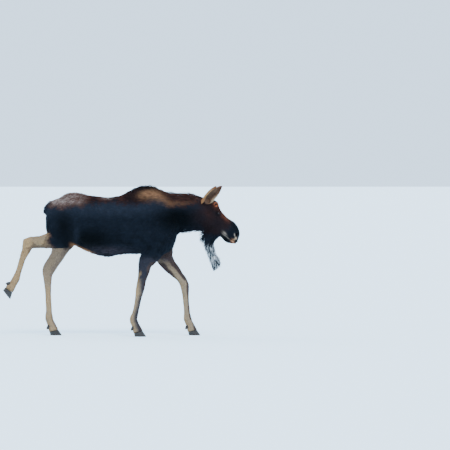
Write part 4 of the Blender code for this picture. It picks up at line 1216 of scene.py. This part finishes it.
def grow_coat(skin, owners, material):
    """Every tuft of the coat, in pieces by region."""
    rng = np.random.default_rng(11)
    points, normals = roots(skin, rng)
    own = own_axes(points)
    flow, lengths, lifts, pulls, longer = combed(points, normals, own, rng)
    widths = WIDTH[0] + WIDTH[1] * lengths
    lengths = lengths * longer
    names = owners.of(points)
    shades = skin_colours(points + flow * (0.5 * lengths)[:, None], names)
    shades = shades + (bare_skin_and_hollow_shade(points, shades) - shades) * 0.7
    shades = shades * np.exp(rng.normal(0, UNEVEN, len(points)))[:, None]
    groups = np.empty(len(points), "U32")
    for name in np.unique(names):
        mine = names == name
        groups[mine] = group_of(name, own[mine, 0], own[mine, 1])
    uvs = np.empty((len(points), 2))
    tufts = (points, normals, flow, lengths, widths, lifts, pulls, shades, uvs)
    long_hair = lengths > LONG_HAIR
    for group in sorted(set(groups)):
        mine = groups == group
        uvs[mine] = unwrapped(points[mine], group)
        parts = []
        for chosen, rings in ((mine & ~long_hair, RINGS_SHORT), (mine & long_hair, RINGS_LONG)):
            if chosen.any():
                parts.append(tuft_pieces([values[chosen] for values in tufts], rings, rng))
        slot = "ear_coat" if group.startswith("ear") else "leg_coat" if group in LEGS else "coat"
        add_piece("coat_" + group, mesh_from(group, parts), material, slot)


# ---- eyes, pedicles and hooves

IRIS = linear((26, 16, 12))
IRIS_RING = linear((44, 26, 17))
PUPIL = (0.001, 0.001, 0.0015)
PUPIL_HALF = (0.36, 0.17)  # its half width and height, on a ball of radius 1
SCLERA = linear((150, 128, 122))
BURR_RIM = linear((132, 70, 42))
BURR_SCAR = linear((26, 15, 14))
# From inside the skull to the middle of the scar: how far out, and the share of the radius.
BURR_PROFILE = (
    (-0.034, 0.80),
    (-0.010, 0.86),
    (0.002, 0.92),
    (0.009, 1.00),
    (0.014, 0.99),
    (0.0160, 0.86),
    (0.0140, 0.68),
    (0.0095, 0.46),
    (0.0085, 0.22),
    (0.0100, 0.02),
)


HORN = (("claw", "hoof", 0.0036), ("spur", "dewclaw", 0.0030))  # piece, node and grain


def eyeball(side):
    """A ball with a bulging cornea, turned out and a little forward, with a long level pupil."""
    shape = bmesh.new()
    bmesh.ops.create_uvsphere(shape, u_segments=48, v_segments=32, radius=1.0)
    co = np.array([vertex.co for vertex in shape.verts])
    u, v, outwards = co.T
    eye = Paint(IRIS, len(co))
    eye.mix(IRIS_RING, hump(np.hypot(u, v), 0.42, 0.12) * (outwards > 0))
    eye.mix(PUPIL, smooth((u / PUPIL_HALF[0]) ** 2 + (v / PUPIL_HALF[1]) ** 2, 1.15, 0.85) * (outwards > 0))
    eye.mix(SCLERA, smooth(outwards, 0.70, 0.58) * 0.85)
    swell = EYE_RADIUS * (0.985 + 0.035 * smooth(outwards, 0.80, 0.97))
    local = (co * swell[:, None]) @ np.stack([EYE_ALONG, EYE_UP, EYE_OUT]) + EYE
    local[:, 0] *= 1 if side == "left" else -1
    for vertex, place in zip(shape.verts, head_to_world(local)):
        vertex.co = place
    shape.normal_update()
    bmesh.ops.recalc_face_normals(shape, faces=shape.faces)
    mesh = mesh_of(shape, "eyeball")
    write_colours(mesh, eye.colours)
    return mesh


def pedicle(side, turns=56, steps=26):
    """The healed stub of a shed antler: a rough rim round a dark, slightly domed scar."""
    sign = 1 if side == "left" else -1
    phases = np.random.default_rng(5 if sign > 0 else 6).uniform(0, 2 * math.pi, 4)
    stage = np.linspace(0, len(BURR_PROFILE) - 1, steps)[:, None]
    out, reach = (np.interp(stage, range(len(BURR_PROFILE)), values) for values in zip(*BURR_PROFILE))
    turn = 2 * math.pi * np.arange(turns) / turns
    bumps = sum(np.sin((2 + 3 * k) * turn + phases[k]) / (1.6 + 0.6 * k) for k in range(4))
    bumps = bumps * hump(stage, 4, 1.6)
    radius = PEDICLE_RADIUS * reach * (1 + 0.045 * bumps)
    across = sign * (PEDICLE[0] + out + 0.0012 * bumps)
    along = PEDICLE[1] + radius * np.cos(turn)
    up = PEDICLE[2] + radius * np.sin(turn) + 0.25 * out
    mesh = tube_mesh("pedicle", head_to_world(np.stack([across, along, up], axis=-1)))
    rim = BURR_RIM * (0.75 + 0.50 * bumps)[:, :, None]
    shades = rim + (BURR_SCAR - rim) * smooth(stage, 5.2, 7.2)[:, :, None]
    co = vertices_of(mesh)
    crust = waves(co, 0.013, 31, 24) + 0.5 * waves(co, 0.006, 32, 24)
    move_vertices(mesh, co + normals_of(mesh) * (0.0016 * crust)[:, None])
    write_colours(mesh, shades.reshape(-1, 3) * np.exp(1.1 * crust)[:, None])
    return mesh


def rounded(name, voxel):
    """A copy of a node of horn with its edges worn round."""
    shape = shape_of(NODES[name].data)
    bmesh.ops.remove_doubles(shape, verts=shape.verts, dist=WELD)
    mesh = remeshed(name, mesh_of(shape, name), voxel)
    co = vertices_of(mesh)
    low = co[:, 2].min()
    co = melt(mesh, co, np.ones(len(co)), passes=4)
    co[:, 2] = np.maximum(co[:, 2], low)
    move_vertices(mesh, co)
    return mesh


# ---- the whole animal


def add_piece(name, mesh, material, slot, *nodes):
    """Shows the mesh, in place of these nodes of the construction model."""
    mesh.shade_smooth()
    mesh.materials.append(material)
    piece = linked(name, mesh)
    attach(piece, "root")
    if nodes:
        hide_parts(*nodes)


def build_animal():
    owners = Owners()
    skin = skin_mesh()
    co = vertices_of(skin)
    write_colours(skin, bare_skin_and_hollow_shade(co, skin_colours(co, owners.of(co))))
    add_piece("skin", skin, skin_material(), "coat", *FLESH, *EARS)
    grow_coat(skin, owners, marked_material("tuft_coat", 0.62, 0.08, 55, 0.82, 1.18)[0])
    wet, horn = eye_material(), horn_material()
    bone = marked_material("pedicle_bone", 0.8, 0.12, 160, 0.65, 1.3)[0]
    for side in ("left", "right"):
        add_piece("eyeball_" + side, eyeball(side), wet, "eye", "eye_" + side)
        add_piece("burr_" + side, pedicle(side), bone, "bone", "pedicle_" + side)
    for foot in FEET:
        for claw in ("outer", "inner"):
            for kind, worn, voxel in HORN:
                name = f"{worn}_{foot}_{claw}"
                add_piece(f"{kind}_{foot}_{claw}", rounded(name, voxel), horn, "horn", name)


# ---- studio

AIM = Vector((0.0, -1.242, 1.332))
DISTANCE = 40.0
VIEW_WIDTH = 5.4
ELEVATION = math.radians(1.0)
FLOOR_SIZE = 300
FLOOR = (0.80, 0.92, 0.99, 1)
FLOOR_GLOW = (0.5, 0.8, 1.1, 1)
SKY = (0.66, 0.88, 1.14, 1)
SUN = (1.0, 0.93, 0.83)
# name, the way to it, its strength and its size in degrees
SUNS = (("key", (-0.75, -0.35, 0.9), 2.6, 22), ("fill", (0.6, 0.9, 0.8), 1.0, 40))


def turned_to(way):
    """The turn that points an object's back along a way, so that it looks against it."""
    return Vector(way).to_track_quat("Z", "Y").to_euler()


def studio():
    floor = bmesh.new()
    bmesh.ops.create_grid(floor, x_segments=2, y_segments=2, size=FLOOR_SIZE)
    plane = linked("floor", mesh_of(floor, "floor"))
    pale, _, shader = shader_material("floor_pale", Roughness=0.9, Specular_IOR_Level=0.1)
    set_inputs(shader, Base_Color=FLOOR, Emission_Color=FLOOR_GLOW, Emission_Strength=0.7)
    plane.data.materials.append(pale)

    world = bpy.data.worlds.new("studio")
    bpy.context.scene.world = world
    world.use_nodes = True
    set_inputs(world.node_tree.nodes["Background"], Color=SKY, Strength=2.0)

    for name, way, energy, size in SUNS:
        data = bpy.data.lights.new(name, "SUN")
        data.energy = energy
        data.angle = math.radians(size)
        data.color = SUN
        linked(name, data).rotation_euler = turned_to(way)

    data = bpy.data.cameras.new("camera")
    data.sensor_width = 36
    data.lens = 36 * DISTANCE / VIEW_WIDTH
    data.clip_end = 1000
    camera = linked("camera", data)
    back = Vector((-math.cos(ELEVATION), 0, math.sin(ELEVATION)))
    camera.location = AIM + back * DISTANCE
    camera.rotation_euler = turned_to(back)
    bpy.context.scene.camera = camera


build_animal()
studio()
